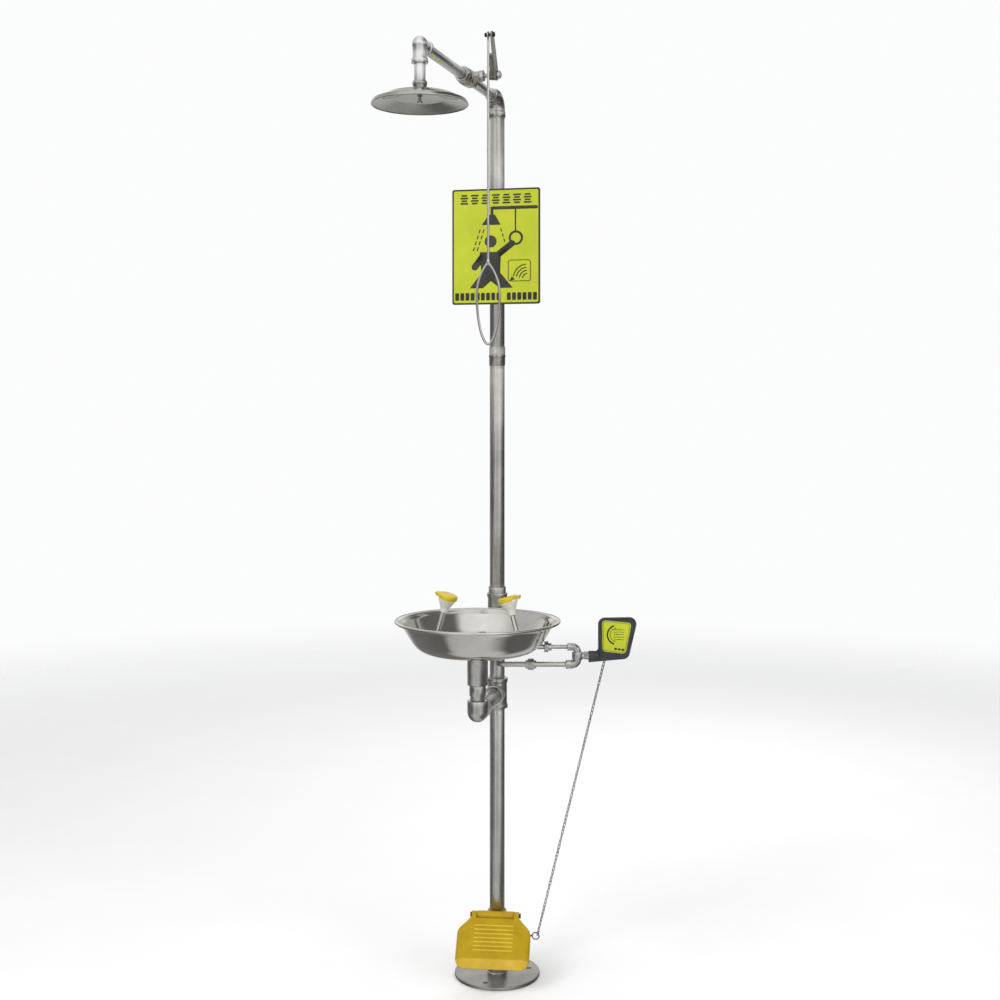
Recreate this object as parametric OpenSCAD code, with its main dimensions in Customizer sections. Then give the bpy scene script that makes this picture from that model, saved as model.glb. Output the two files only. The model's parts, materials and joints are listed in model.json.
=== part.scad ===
// Floor-standing emergency shower with eyewash basin, push flag and foot treadle.
// Origin: centre of the floor flange's underside. +Z up, the basin stands to -Y. Millimetres.

/* [Stanchion] */
// Outside diameter of the stanchion pipe
pipe_d = 38.1; // [33:0.1:42]
// Wall of the stanchion pipe
pipe_wall = 2; // [1.5:0.5:3]
// Diameter of the floor flange
flange_d = 218; // [180:1:260]
// Thickness of the floor flange
flange_t = 8; // [6:1:14]
// Bolt circle of the floor flange
bolt_pcd = 165; // [140:1:180]
// Number of bolt holes
bolt_count = 3; // [3:1:6]
// Diameter of a bolt hole
bolt_hole_d = 12; // [8:1:14]
// Angle of the first bolt hole
bolt_angle = 21; // [0:1:119]
// Height of the shower arm's axis
arm_z = 2247; // [2150:1:2350]
// Height of the coupling's middle
coupling_z = 1586; // [1300:1:1640]

/* [Shower] */
// Reach of the shower head from the stanchion
arm_reach = 553; // [480:1:650]
// Diameter of the arm pipe
arm_d = 25.4; // [22:0.1:28]
// Turn of the arm about the stanchion, to the left of the basin
arm_yaw = 6; // [0:1:20]
// Distance of the shower valve from the stanchion
shower_valve_at = 240; // [190:1:300]
// Diameter of the shower bell
bell_d = 214; // [180:1:260]
// Height of the bell's rim
bell_z = 2114; // [2083:1:2160]
// Length of the lever from stem to pull rod
lever_l = 94; // [80:1:130]
// Angle of the lever above level, valve shut
lever_up = 70; // [50:1:75]
// Length of the handle loop
loop_l = 194; // [150:1:240]
// Width of the handle loop between wire centres
loop_w = 55; // [40:1:70]
// Height of the handle loop's lower tip
loop_z = 1603; // [1560:1:1700]

/* [Sign] */
// Width of the sign
sign_w = 229; // [180:1:260]
// Height of the sign
sign_h = 295; // [240:1:340]
// Height of the sign's lower edge
sign_z = 1717; // [1660:1:1800]
// Shift of the sign to the right of the stanchion
sign_x = 2.5; // [-5:0.5:5]

/* [Basin] */
// Distance of the basin's middle from the stanchion
basin_reach = 230; // [222:1:260]
// Diameter of the basin over its lip
basin_d = 394; // [360:1:400]
// Height of the basin's lip
rim_z = 943; // [930:1:950]
// Height of the basin's flat underside
basin_z = 865; // [864:1:868]
// Half the distance between the spray nozzles
nozzle_half = 90; // [80:1:95]
// Inward tilt of each nozzle
nozzle_tilt = 16; // [8:1:22]
// Turn of the nozzle pair about the basin's middle
nozzle_yaw = -7; // [-12:1:0]

/* [Waste] */
// Height of the waste line's axis
waste_z = 722; // [700:1:740]
// Diameter of the waste fittings
waste_d = 50; // [46:1:54]
// Diameter of the waste pipe
waste_pipe_d = 40; // [36:1:42]

/* [Eyewash branch] */
// Turn of the eyewash branch about the stanchion
branch_yaw = 12; // [8:1:16]
// Height of the lower branch pipe
branch_z = 836; // [834:1:838]
// Height of the upper branch pipe
inlet_z = 878; // [876:1:880]
// Sideways distance of the eyewash valve from the stanchion
valve_x = 192; // [186:1:200]
// Outside diameter of the lower branch pipe
branch_d = 12.7; // [10:0.1:14]

/* [Flag] */
// Width of the push plate
flag_w = 92; // [80:1:110]
// Height of the push plate over the stem's axis
flag_h = 92; // [80:1:110]
// Thickness of the push plate
flag_t = 6; // [4:0.5:8]
// Radius of the chain lug about the stem's axis
lug_r = 16; // [15:0.5:17]

/* [Treadle] */
// Greatest width of the treadle
treadle_w = 184; // [170:1:200]
// Width over the treadle's hinge ears
hinge_w = 120; // [110:1:130]
// Length of the treadle from hinge to lip
treadle_l = 140; // [134:1:148]
// Slope of the treadle at rest
treadle_slope = 40; // [36:1:42]
// Height of the treadle's hinge
hinge_z = 165; // [160:1:175]
// Turn of the treadle about the stanchion
treadle_yaw = 6; // [0:1:10]
// Number of tread ribs
rib_count = 7; // [5:1:8]

/* [Hidden] */

$fn = 64;
fit = 0.05;
gap = 0.1;
steel = "#b9bbb6";
brass = "#b8a878";
lime = "#c8d22a";
cap_yellow = "#d8c020";
tread_yellow = "#c4a524";
ink = "#26282a";
pipe_r = pipe_d / 2;
pipe_ir = pipe_r - pipe_wall;
arm_r = arm_d / 2;
arm_ir = arm_r - 2;

// Stanchion heights
hub_top = flange_t + 24;
tee_half = 38;
branch_tee_half = 25;
inlet_tee_z = 934;
inlet_tee_half = 44;
inlet_r = 19.5;
elbow_r = 28;
socket = 14;

// Shower head
head_bend = 22;
head_band_z = arm_z - head_bend - 20;
bell_top = bell_z + 26;
bell_r = bell_d / 2;
collar_top = bell_top + 27;
pan_z = bell_z + 12;

// Lever and pull rod, along the arm (t), across it (n) and up (z)
lever_n = 72;
lever_t = 5;
rod_n = 65;
rod_r = 3;
tip_t = shower_valve_at + lever_l * cos(lever_up);
tip_z = arm_z + lever_l * sin(lever_up);
loop_top = loop_z + loop_l;
loop_wide = loop_z + 0.6 * loop_l;

// Basin and its waste
sheet = 1.5;
corner_r = 60;
wall_lean = 59;
floor_r = 108;
drain_r = waste_d / 2;
neck_r = 18;

// Branch frame: +X across, -Y forward, turned by branch_yaw
basin_bx = -basin_reach * sin(branch_yaw);
basin_by = -basin_reach * cos(branch_yaw);
branch_r = branch_d / 2;
bend_r = 22;
valve_z = (branch_z + inlet_z) / 2;
upper_r = 5;
fitting_x = 122;

// Flag, in the branch frame
hub_x0 = valve_x + 27;
plate_x0 = valve_x + 50;
lug_x = valve_x + 72;
lug_lift = 35;
lug_y = basin_by + lug_r * cos(lug_lift);
lug_z = valve_z + lug_r * sin(lug_lift);

// Treadle frame: hinge axis along X at (-hinge_y, hinge_z)
hinge_y = 42;
pin_r = 4;
eye_u = treadle_w / 2 + 13;
eye_v = 52;
eye_rr = 8.5;
wire_r = 1.3;
link_rr = 5;
foot_rr = 6;
link_wire = 1.1;

// Chain ends, in the row's frame
function turned(p, a) = [p[0] * cos(a) - p[1] * sin(a), p[0] * sin(a) + p[1] * cos(a), p[2]];
function eye_at(slope) = turned([
    eye_u,
    -hinge_y - eye_v * cos(slope),
    hinge_z - eye_v * sin(slope)], treadle_yaw);
lug_at = turned([lug_x, lug_y, lug_z], branch_yaw);
chain_foot = eye_at(treadle_slope) + turned([0, -2, 2.5], treadle_yaw);
chain_v = chain_foot - lug_at;
chain_l = norm(chain_v);

// Points on an arc about c, from angle a0 to a1
function arc(c, r, a0, a1, n = 8) =
    [for (i = [0:n]) c + r * [cos(a0 + (a1 - a0) * i / n), sin(a0 + (a1 - a0) * i / n)]];
function unit(v) = v / norm(v);
function left(v) = [-v[1], v[0]];
function tangent(p, i) = unit(p[min(i + 1, len(p) - 1)] - p[max(i - 1, 0)]);
// An open line made into a closed outline of thickness t, on its left side
function thicken(p, t) = concat(p, [for (i = [len(p) - 1:-1:0]) p[i] + t * left(tangent(p, i))]);

module tube(r, ir, h) {
    difference() {
        cylinder(r = r, h = h);
        translate([0, 0, -1]) cylinder(r = ir, h = h + 2);
    }
}

module span(z0) {
    translate([0, 0, z0]) children();
}

// Cylinder along Z from z0 to z1
module rod(r, z0, z1) {
    translate([0, 0, z0]) cylinder(r = r, h = z1 - z0);
}

module hex(af, h) {
    cylinder(d = af / cos(30), h = h, $fn = 6);
}

// Puts local Z along the arm, local -Y up and local X across it to the right
module along_arm(t) {
    rotate([0, 0, -arm_yaw]) translate([0, -t, arm_z]) rotate([90, 0, 0]) children();
}

// Puts local Z across the arm, out of the shower valve
module across_arm(t, z = arm_z) {
    rotate([0, 0, -arm_yaw]) translate([0, -t, z]) rotate([0, 90, 0]) children();
}

module branch_frame() {
    rotate([0, 0, branch_yaw]) children();
}

// Local Z points from the stanchion towards the basin's middle
module to_basin(y, z) {
    translate([0, -y, z]) rotate([90, 0, 0]) children();
}

// Local Z along the branch frame's +X
module branch_x(x, z) {
    branch_frame() translate([x, basin_by, z]) rotate([0, 90, 0]) children();
}

// A quarter bend of a tube in the XZ plane: from +Z at the origin to +X
module bend(r, ir, rr) {
    translate([rr, 0, 0]) rotate([90, 0, 0]) rotate([0, 0, 90]) rotate_extrude(angle = 90)
        translate([rr, 0]) difference() {
            circle(r = r);
            if (ir > 0) circle(r = ir);
        }
}

module bend_solid(r, rr) {
    bend(r, 0, rr);
}

// ---- Stanchion ----

module floor_flange() {
    color(steel) difference() {
        union() {
            rotate_extrude() polygon(concat(
                [[0, 0], [flange_d / 2 - 1, 0], [flange_d / 2, 1]],
                arc([flange_d / 2 - 3, flange_t - 3], 3, 0, 90, 5),
                [[0, flange_t]]));
            rod(pipe_r + 6, flange_t - 1, hub_top);
        }
        rod(pipe_r + gap, flange_t, hub_top + 1);
        rod(pipe_ir - 1, -1, flange_t + 1);
        for (i = [0:bolt_count - 1])
            rotate([0, 0, bolt_angle + i * 360 / bolt_count]) translate([bolt_pcd / 2, 0, -1])
                cylinder(d = bolt_hole_d, h = flange_t + 2);
    }
}

module lower_pipe() {
    color(steel) span(flange_t) tube(pipe_r, pipe_ir, waste_z - tee_half + socket - flange_t);
}

// Straight fitting about the stanchion with bands at its ends
module tee_body(z, half, r) {
    rod(r, z - half, z + half);
    rod(r + 2, z - half, z - half + 10);
    rod(r + 2, z + half - 10, z + half);
}

module tee_bore(z, half) {
    rod(pipe_r + gap, z - half - 1, z - half + socket);
    rod(pipe_ir, z - half, z + half);
    rod(pipe_r + gap, z + half - socket, z + half + 1);
}

module drain_tee() {
    color(steel) difference() {
        union() {
            tee_body(waste_z, tee_half, 25);
            to_basin(0, waste_z) rod(drain_r - 1, 0, 40);
            to_basin(0, waste_z) rod(drain_r + 1, 36, 48);
        }
        tee_bore(waste_z, tee_half);
        to_basin(0, waste_z) rod(waste_pipe_d / 2 - 2, 0, 60);
        to_basin(0, waste_z) rod(waste_pipe_d / 2 + gap, 34, 60);
    }
}

module blind_plug() {
    color(brass) rod(pipe_ir - gap, waste_z + 50, waste_z + 60);
}

module mid_pipe() {
    top = branch_z - branch_tee_half + socket - 4;
    color(steel) span(waste_z + tee_half - socket)
        tube(pipe_r, pipe_ir, top - waste_z - tee_half + socket);
}

module branch_tee() {
    color(steel) difference() {
        union() {
            rod(23, branch_z - branch_tee_half, branch_z + branch_tee_half);
            branch_frame() to_basin(0, branch_z) rod(11, 0, 38);
        }
        rod(pipe_r + gap, branch_z - branch_tee_half - 1, branch_z - branch_tee_half + socket - 4);
        rod(pipe_ir, branch_z - branch_tee_half, branch_z + branch_tee_half);
        rod(pipe_r + gap, branch_z + branch_tee_half - socket + 4, branch_z + branch_tee_half + 1);
        branch_frame() to_basin(0, branch_z) rod(branch_r - 1, 0, 60);
        branch_frame() to_basin(0, branch_z) rod(branch_r + gap, 26, 60);
    }
}

module tee_nipple() {
    low = branch_z + branch_tee_half - socket + 4;
    color(steel) span(low) tube(pipe_r, pipe_ir, inlet_tee_z - inlet_tee_half + socket - low);
}

module inlet_tee() {
    color(steel) difference() {
        union() {
            tee_body(inlet_tee_z, inlet_tee_half, 24);
            rod(22, inlet_tee_z + inlet_tee_half - 1, inlet_tee_z + inlet_tee_half + 16);
            span(inlet_tee_z) rotate([-90, 0, 0]) rod(24, 0, 50);
            span(inlet_tee_z) rotate([-90, 0, 0]) rod(26.5, 42, 54);
        }
        tee_bore(inlet_tee_z, inlet_tee_half);
        rod(pipe_r + gap, inlet_tee_z + inlet_tee_half, inlet_tee_z + inlet_tee_half + 17);
        span(inlet_tee_z) rotate([-90, 0, 0]) rod(pipe_ir, 0, 60);
        span(inlet_tee_z) rotate([-90, 0, 0]) rod(inlet_r, 36, 60);
    }
}

module riser_pipe() {
    low = inlet_tee_z + inlet_tee_half - socket;
    color(steel) span(low) tube(pipe_r, pipe_ir, coupling_z - 0.5 - low);
}

module pipe_coupling() {
    color(steel) difference() {
        union() {
            rod(20.6, coupling_z - 24, coupling_z + 24);
            rod(21.4, coupling_z - 4, coupling_z + 4);
        }
        rod(pipe_r + gap, coupling_z - 25, coupling_z + 25);
    }
}

module upper_pipe() {
    top = arm_z - elbow_r - 6;
    color(steel) span(coupling_z + 0.5) tube(pipe_r, pipe_ir, top - coupling_z - 0.5);
}

module top_elbow() {
    low = arm_z - elbow_r;
    color(steel) rotate([0, 0, -arm_yaw]) difference() {
        union() {
            rod(pipe_r + 2.4, low - 20, low - 6);
            rod(pipe_r + 1, low - 8, low);
            translate([0, 0, low]) rotate([0, 0, -90]) bend_solid(pipe_r + 1, elbow_r);
            to_basin(elbow_r, arm_z) cylinder(r1 = pipe_r + 1, r2 = arm_r + 3.5, h = 10);
            to_basin(elbow_r, arm_z) rod(arm_r + 3.5, 9, 24);
        }
        rod(pipe_r + gap, low - 21, low - 6);
        rod(pipe_ir, low - 7, low + 0.01);
        translate([0, 0, low]) rotate([0, 0, -90]) bend_solid(pipe_ir - 1, elbow_r);
        to_basin(elbow_r, arm_z) rod(arm_ir, -0.01, 30);
        to_basin(elbow_r, arm_z) rod(arm_r + gap, 10, 30);
    }
}

// ---- Shower arm, valve and head ----

module arm_inner_pipe() {
    start = elbow_r + 10;
    color(steel) along_arm(start) tube(arm_r, arm_ir, shower_valve_at - 20.1 - start);
}

module shower_valve_body() {
    color(steel) difference() {
        union() {
            along_arm(shower_valve_at) rod(19, -28, 28);
            along_arm(shower_valve_at) rod(21, -13, 13);
            across_arm(shower_valve_at) rod(12, 0, 33);
        }
        along_arm(shower_valve_at) rod(15.2, -17.1, 17.1);
        along_arm(shower_valve_at) rod(9.5, -21, 21);
        along_arm(shower_valve_at) rod(arm_r + gap, -29, -20);
        along_arm(shower_valve_at) rod(arm_r + gap, 20, 29);
        across_arm(shower_valve_at) rod(5 + fit, 0, 40);
    }
}

module shower_valve_nuts() {
    color(steel) for (side = [-1, 1])
        along_arm(shower_valve_at + side * 34) span(-6) difference() {
            hex(34, 12);
            span(-1) cylinder(r = arm_r + gap, h = 14);
        }
}

module shower_valve_seats() {
    color("white") for (side = [-1, 1])
        along_arm(shower_valve_at + side * 15.05) span(-1.9) tube(15, 9.6, 3.8);
}

module shower_packing_nut() {
    color(brass) across_arm(shower_valve_at) span(33) difference() {
        hex(24, 11);
        span(-1) cylinder(r = 5 + fit, h = 13);
    }
}

module arm_outer_pipe() {
    start = shower_valve_at + 20.1;
    color(steel) along_arm(start) tube(arm_r, arm_ir, arm_reach - head_bend - 6 - start);
}

module head_elbow() {
    color(steel) rotate([0, 0, -arm_yaw]) difference() {
        union() {
            to_basin(arm_reach - head_bend - 18, arm_z) rod(18, 0, 10);
            to_basin(arm_reach - head_bend - 10, arm_z) rod(16, 0, head_bend + 10);
            translate([0, -arm_reach, arm_z]) sphere(r = 17.5);
            translate([0, -arm_reach, 0]) rod(16, head_band_z + 6, arm_z);
            translate([0, -arm_reach, 0]) rod(18.5, head_band_z, head_band_z + 10);
        }
        to_basin(arm_reach - head_bend - 19, arm_z) rod(arm_r + gap, 0, 13);
        to_basin(arm_reach - head_bend - 8, arm_z) rod(arm_ir, 0, 8.01);
        translate([0, -arm_reach, arm_z - head_bend]) rotate([0, 0, 90]) bend_solid(arm_ir, head_bend);
        translate([0, -arm_reach, 0]) rod(arm_ir, head_band_z + 10, arm_z - head_bend + 0.01);
        translate([0, -arm_reach, 0]) rod(arm_r + gap, head_band_z - 1, head_band_z + 14);
    }
}

module at_head() {
    rotate([0, 0, -arm_yaw]) translate([0, -arm_reach, 0]) children();
}

module drop_pipe() {
    low = bell_top - 5;
    color(steel) at_head() span(low) tube(arm_r, arm_ir, head_band_z + 14 - low);
}

module head_collar() {
    low = bell_top + 0.3;
    color(steel) at_head() difference() {
        union() {
            rod(15.2, low, collar_top);
            rod(16.4, collar_top - 9, collar_top - 3);
        }
        rod(arm_r + gap, low - 1, collar_top + 1);
    }
}

bell_line = concat(
    [[bell_r, bell_z], [bell_r - 0.6, bell_z + 3]],
    arc([bell_r - 38, bell_z + 12], 12, 52, 86, 5),
    [[30, bell_top - 0.6], [arm_r + 0.5, bell_top]]);

module shower_bell() {
    color(steel) at_head() rotate_extrude($fn = 96) polygon(thicken(bell_line, sheet));
}

module spray_pan() {
    line = [[bell_r - 2.2, bell_z + 0.6], [bell_r - 53, pan_z], [7, pan_z]];
    color(steel) at_head() rotate_extrude($fn = 96) polygon(thicken(line, -1.2));
}

module deluge_bolt() {
    color(steel) at_head() {
        rod(3, pan_z - 5, pan_z + 8);
        rod(6, pan_z - 8, pan_z - 4.5);
        rod(9, pan_z + 1.25, pan_z + 6);
    }
}

module shower_ball() {
    color(steel) difference() {
        along_arm(shower_valve_at) sphere(r = 13);
        across_arm(shower_valve_at) rod(9, -20, 0);
        across_arm(shower_valve_at) rod(9, -0.01, 5);
        across_arm(shower_valve_at) rod(5.2, 8, 20);
    }
}

module shower_stem() {
    color(steel) across_arm(shower_valve_at) rod(5, 8.1, lever_n + lever_t + 10);
}

// Outline of a bar from the origin along +X, with round ends of radius r0 and r1
module taper_bar(l, r0, r1) {
    a = acos((r0 - r1) / l);
    polygon(concat(arc([0, 0], r0, a, 360 - a, 24), arc([l, 0], r1, -a, a, 16)));
}

module shower_lever() {
    color(steel) difference() {
        union() {
            across_arm(shower_valve_at) rod(11, lever_n - 14, lever_n + 0.5);
            across_arm(shower_valve_at) span(lever_n) rotate([0, 0, 270 - lever_up])
                linear_extrude(lever_t) taper_bar(lever_l, 13, 8);
            across_arm(shower_valve_at) span(lever_n - 9) rotate([0, 0, 270 - lever_up])
                linear_extrude(9.8) taper_bar(45, 12, 6.5);
        }
        across_arm(shower_valve_at) rod(5 + fit, 40, 120);
        across_arm(tip_t, tip_z) rod(3 + fit, 40, 120);
    }
}

module lever_nut() {
    color(steel) across_arm(shower_valve_at) span(lever_n + lever_t) difference() {
        hex(17, 8);
        span(-1) cylinder(r = 5 + fit, h = 12);
    }
}

module lever_pin() {
    color(ink) across_arm(tip_t, tip_z) {
        rod(3, rod_n - 7, lever_n + lever_t + 3);
        rod(5.5, lever_n + lever_t, lever_n + lever_t + 4);
        rod(5, rod_n - 8, rod_n - 4.6);
    }
}

// One side of the leaf-shaped handle: two arcs that meet at its widest point
module loop_side() {
    half = loop_w / 2;
    up = loop_top - loop_wide;
    down = loop_wide - loop_z;
    r_up = (up * up + half * half) / (2 * half);
    r_down = (down * down + half * half) / (2 * half);
    translate([half - r_up, 0, loop_wide]) rotate([90, 0, 0])
        rotate_extrude(angle = asin(up / r_up), $fn = 96) translate([r_up, 0]) circle(r = rod_r, $fn = 24);
    translate([half - r_down, 0, loop_wide]) rotate([90, 0, 0]) mirror([0, 1, 0])
        rotate_extrude(angle = asin(down / r_down), $fn = 96)
            translate([r_down, 0]) circle(r = rod_r, $fn = 24);
}

module pull_rod() {
    color(steel) {
        across_arm(tip_t, tip_z) span(rod_n - 3) tube(8, 3 + fit, 6);
        rotate([0, 0, -arm_yaw]) translate([rod_n, -tip_t, 0]) {
            rod(rod_r, loop_top, tip_z - 6);
            rotate([0, 0, arm_yaw]) {
                loop_side();
                mirror([1, 0, 0]) loop_side();
            }
            translate([0, 0, loop_top]) sphere(r = rod_r + 1);
            translate([0, 0, loop_z]) sphere(r = rod_r + 0.8);
        }
    }
}

// ---- Sign ----

sign_back = pipe_r + 6;
clamp_gap = 215;

module panel(w, h, r, t) {
    x = w / 2 - r;
    y = h / 2 - r;
    linear_extrude(t) polygon(concat(
        arc([x, y], r, 0, 90, 5), arc([-x, y], r, 90, 180, 5),
        arc([-x, -y], r, 180, 270, 5), arc([x, -y], r, 270, 360, 5)));
}

// Local Z out of the sign's face, local Y up, from depth d in front of the plate's back
module on_sign(d) {
    translate([sign_x, -sign_back - d, sign_z + sign_h / 2]) rotate([90, 0, 0]) children();
}

module sign_plate() {
    color(ink) difference() {
        on_sign(0) panel(sign_w, sign_h, 6, 3);
        for (z = [-1, 1]) on_sign(-1) translate([-sign_x, z * clamp_gap / 2, 0]) cylinder(r = 2.6, h = 6);
    }
}

module sign_face() {
    color(lime) on_sign(3) panel(sign_w - 9, sign_h - 9, 4, 0.8);
}

// A stroke with round ends, in the sign's plane
module stroke(a, b, w) {
    d = b - a;
    translate(a) rotate(atan2(d[1], d[0]))
        polygon(concat(arc([0, 0], w / 2, 90, 270, 8), arc([norm(d), 0], w / 2, -90, 90, 8)));
}

// A plain figure under a shower, made of strokes
module symbol_outline() {
    edge = sign_w / 2 - 5.5;
    stroke([edge - 4, 98], [-10, 98], 8);
    stroke([-10, 98], [-10, 78], 7);
    polygon([[-18, 81], [-2, 81], [12.5, 55], [-37, 55]]);
    stroke([51, 96], [51, 37], 3.5);
    difference() {
        translate([52, 21]) circle(r = 18.5);
        translate([52, 21]) circle(r = 13);
    }
    translate([-13.5, 13]) circle(r = 15.4);
    stroke([-33, -24], [-55, -52], 17);
    stroke([3, -23], [42, 7], 16);
    polygon([[-42, -14], [13, -14], [11, -74], [-37, -74]]);
    polygon([[-38, -68], [12, -68], [44, -106], [10, -106], [-13, -88], [-34, -106], [-68, -106]]);
    for (i = [0:3], j = [0:1])
        stroke([-31 - 10 * j - 5 * i, 43 - 15 * i], [-33.5 - 10 * j - 5 * i, 35.5 - 15 * i], 2.8);
    for (i = [0:2]) stroke([13 + 4 * i, 45 - 13 * i], [15 + 4 * i, 38 - 13 * i], 2.8);
}

module sign_symbol() {
    color(ink) on_sign(3.8) linear_extrude(0.5) union() symbol_outline();
}

module sign_clamps() {
    color(steel) for (z = [-1, 1]) translate([0, 0, sign_z + sign_h / 2 + z * clamp_gap / 2]) {
        difference() {
            union() {
                rod(pipe_r + 3, -9, 9);
                translate([-9, -sign_back + gap, -9]) cube([18, 10, 18]);
                translate([-3, pipe_r, -9]) cube([6, 14, 18]);
            }
            rod(pipe_r + gap, -10, 10);
            translate([-0.8, 0, -10]) cube([1.6, 60, 20]);
        }
        translate([-6, pipe_r + 8, 0]) rotate([0, 90, 0]) cylinder(r = 2.4, h = 12);
        translate([0, -sign_back + 6, 0]) rotate([90, 0, 0]) cylinder(r = 2.5, h = 8.9);
    }
}

// ---- Basin, waste and nozzles ----

module at_basin() {
    translate([0, -basin_reach, 0]) children();
}

wall_foot = [floor_r, basin_z + corner_r] + corner_r * [sin(wall_lean), -cos(wall_lean)];
wall_top = wall_foot + (rim_z - 10 - wall_foot[1]) / sin(wall_lean) * [cos(wall_lean), sin(wall_lean)];
basin_line = concat(
    [[20, basin_z]],
    arc([floor_r, basin_z + corner_r], corner_r, -90, wall_lean - 90, 10),
    [wall_top],
    arc([basin_d / 2 - 2.5, rim_z - 11.5], 10, 160, 90, 6),
    arc([basin_d / 2 - 2.5, rim_z - 3.5], 2.5, 90, -60, 4));

module basin() {
    color(steel) difference() {
        at_basin() rotate_extrude($fn = 128) polygon(thicken(basin_line, sheet));
        branch_x(0, inlet_z) rod(6.1, 0, 160);
    }
}

module strainer() {
    color(steel) at_basin() difference() {
        union() {
            rod(27, basin_z + sheet, basin_z + sheet + 2);
            rod(16.5, basin_z - 8, basin_z + sheet + 1);
        }
        rod(14, basin_z - 9, basin_z + sheet);
        for (i = [0:7]) rotate([0, 0, i * 45]) translate([9, 0, 0]) rod(2.2, basin_z - 10, basin_z + 10);
        rod(2.2, basin_z - 10, basin_z + 10);
    }
}

module drain_body() {
    low = waste_z + 65;
    color(steel) at_basin() difference() {
        union() {
            rod(drain_r, low, basin_z - 0.1);
            rod(drain_r + 6, basin_z - 5, basin_z - 0.1);
            rod(15.5, low - 14, low + 2);
        }
        rod(17, low + 6, basin_z);
        rod(12, low - 15, low + 7);
    }
}

module drain_locknut() {
    low = basin_z - 13;
    color(steel) at_basin() span(low) difference() {
        cylinder(r = drain_r + 4.5, h = 7.9);
        span(-1) cylinder(r = drain_r + gap, h = 12);
    }
}

module drain_neck_nut() {
    low = waste_z + 27;
    color(steel) at_basin() difference() {
        union() {
            rod(20, low + 12, low + 36);
            rod(neck_r, low, low + 37.9);
        }
        rod(15.5 + gap, low + 20, low + 40);
        rod(12, low - 1, low + 21);
    }
}

// A short quarter bend: an upright and a level leg that meet in a ball
module waste_knee(r, up, back) {
    rod(r, waste_z, waste_z + up);
    span(waste_z) sphere(r = r);
    span(waste_z) rotate([-90, 0, 0]) rod(r, 0, back);
}

module drain_elbow() {
    color(steel) at_basin() difference() {
        waste_knee(drain_r, 27, 47);
        waste_knee(17, 28, 40);
        span(waste_z) rotate([-90, 0, 0]) rod(waste_pipe_d / 2 + gap, 33, 48);
    }
}

module waste_pipe() {
    start = 34;
    color(steel) to_basin(start, waste_z)
        tube(waste_pipe_d / 2, waste_pipe_d / 2 - 2, basin_reach - 33 - start);
}

// Local Z up the tilted axis of a nozzle; side is -1 for the left one and 1 for the right one
stub_z = 950;
module at_nozzle(side) {
    at_basin() rotate([0, 0, nozzle_yaw]) translate([side * nozzle_half, 0, stub_z])
        rotate([0, -side * nozzle_tilt, 0]) children();
}

module manifold() {
    foot = nozzle_half + (stub_z - inlet_z) * tan(nozzle_tilt);
    color(steel) {
        branch_x(0, inlet_z) rod(6, basin_bx, fitting_x + 3.9);
        at_basin() span(inlet_z) sphere(r = 11);
        at_basin() rotate([0, 0, nozzle_yaw]) for (side = [-1, 1]) {
            span(inlet_z) rotate([0, side * 90, 0]) rod(6, 0, foot);
            translate([side * foot, 0, inlet_z]) sphere(r = 6.8);
        }
        for (side = [-1, 1]) at_nozzle(side) rod(6, -(stub_z - inlet_z) / cos(nozzle_tilt), 20);
    }
}

nozzle_nut_z = 9;
cone_z = 17;
cone_top = 41;
mouth_r = 22.5;
mouth_z = 46;
cap_hinge_x = 29;
cap_hinge_z = 48;

module nozzle_body(side) {
    at_nozzle(side) {
        difference() {
            union() {
                span(nozzle_nut_z) cylinder(r = 10, h = cone_z - nozzle_nut_z + 1);
                span(cone_z) cylinder(r1 = 10, r2 = mouth_r, h = cone_top - cone_z);
                rod(mouth_r, cone_top, mouth_z);
                translate([side > 0 ? mouth_r - 3 : -cap_hinge_x - 1, -3, cone_top])
                    cube([cap_hinge_x - mouth_r + 4, 6, cap_hinge_z - cone_top + 2]);
            }
            rod(6 + gap, nozzle_nut_z - 1, 21);
            span(20.9) cylinder(r1 = 8, r2 = mouth_r - 2.4, h = cone_top - 20.9);
            rod(mouth_r - 2.4, cone_top - 0.01, mouth_z + 5);
            translate([side * cap_hinge_x, 0, cap_hinge_z]) rotate([90, 0, 0])
                cylinder(r = 1.5 + fit, h = 20, center = true);
        }
    }
}

module nozzle_bodies() {
    color("#d8dbd6") {
        nozzle_body(-1);
        nozzle_body(1);
    }
}

module spray_discs() {
    color("#e4e6e2") for (side = [-1, 1]) at_nozzle(side) difference() {
        rod(mouth_r - 2.5, cone_top, cone_top + 2.5);
        for (i = [0:5]) rotate([0, 0, i * 60]) translate([12, 0, 0]) rod(1.4, cone_top - 1, cone_top + 4);
    }
}

module cap(side) {
    color(cap_yellow) at_nozzle(side) {
        difference() {
            union() {
                rod(24.3, 42.5, 51);
                span(51) cylinder(r1 = 24.3, r2 = 21, h = 2.5);
                for (y = [-1, 1]) translate([side > 0 ? 18 : -cap_hinge_x, y * 5.4 - 1.9, cap_hinge_z - 1])
                    cube([cap_hinge_x - 18, 3.8, 4]);
                for (y = [-1, 1]) translate([side * cap_hinge_x, y * 5.4, cap_hinge_z]) rotate([90, 0, 0])
                    cylinder(r = 3, h = 3.8, center = true);
            }
            rod(mouth_r + 0.6, 42, mouth_z + 0.1);
            translate([side > 0 ? 13 : -cap_hinge_x + 3, -19, 40])
                cube([cap_hinge_x - 16, 38, mouth_z + 0.1 - 40]);
            translate([side > 0 ? 17 : -cap_hinge_x - 4, -3.45, 40])
                cube([cap_hinge_x - 13, 6.9, cap_hinge_z + 3.3 - 40]);
        }
        translate([side * cap_hinge_x, 0, cap_hinge_z]) rotate([90, 0, 0])
            cylinder(r = 1.5, h = 14.6, center = true);
    }
}

module cap_left() {
    cap(-1);
}

module cap_right() {
    cap(1);
}

// ---- Eyewash branch, valve and flag ----

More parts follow.
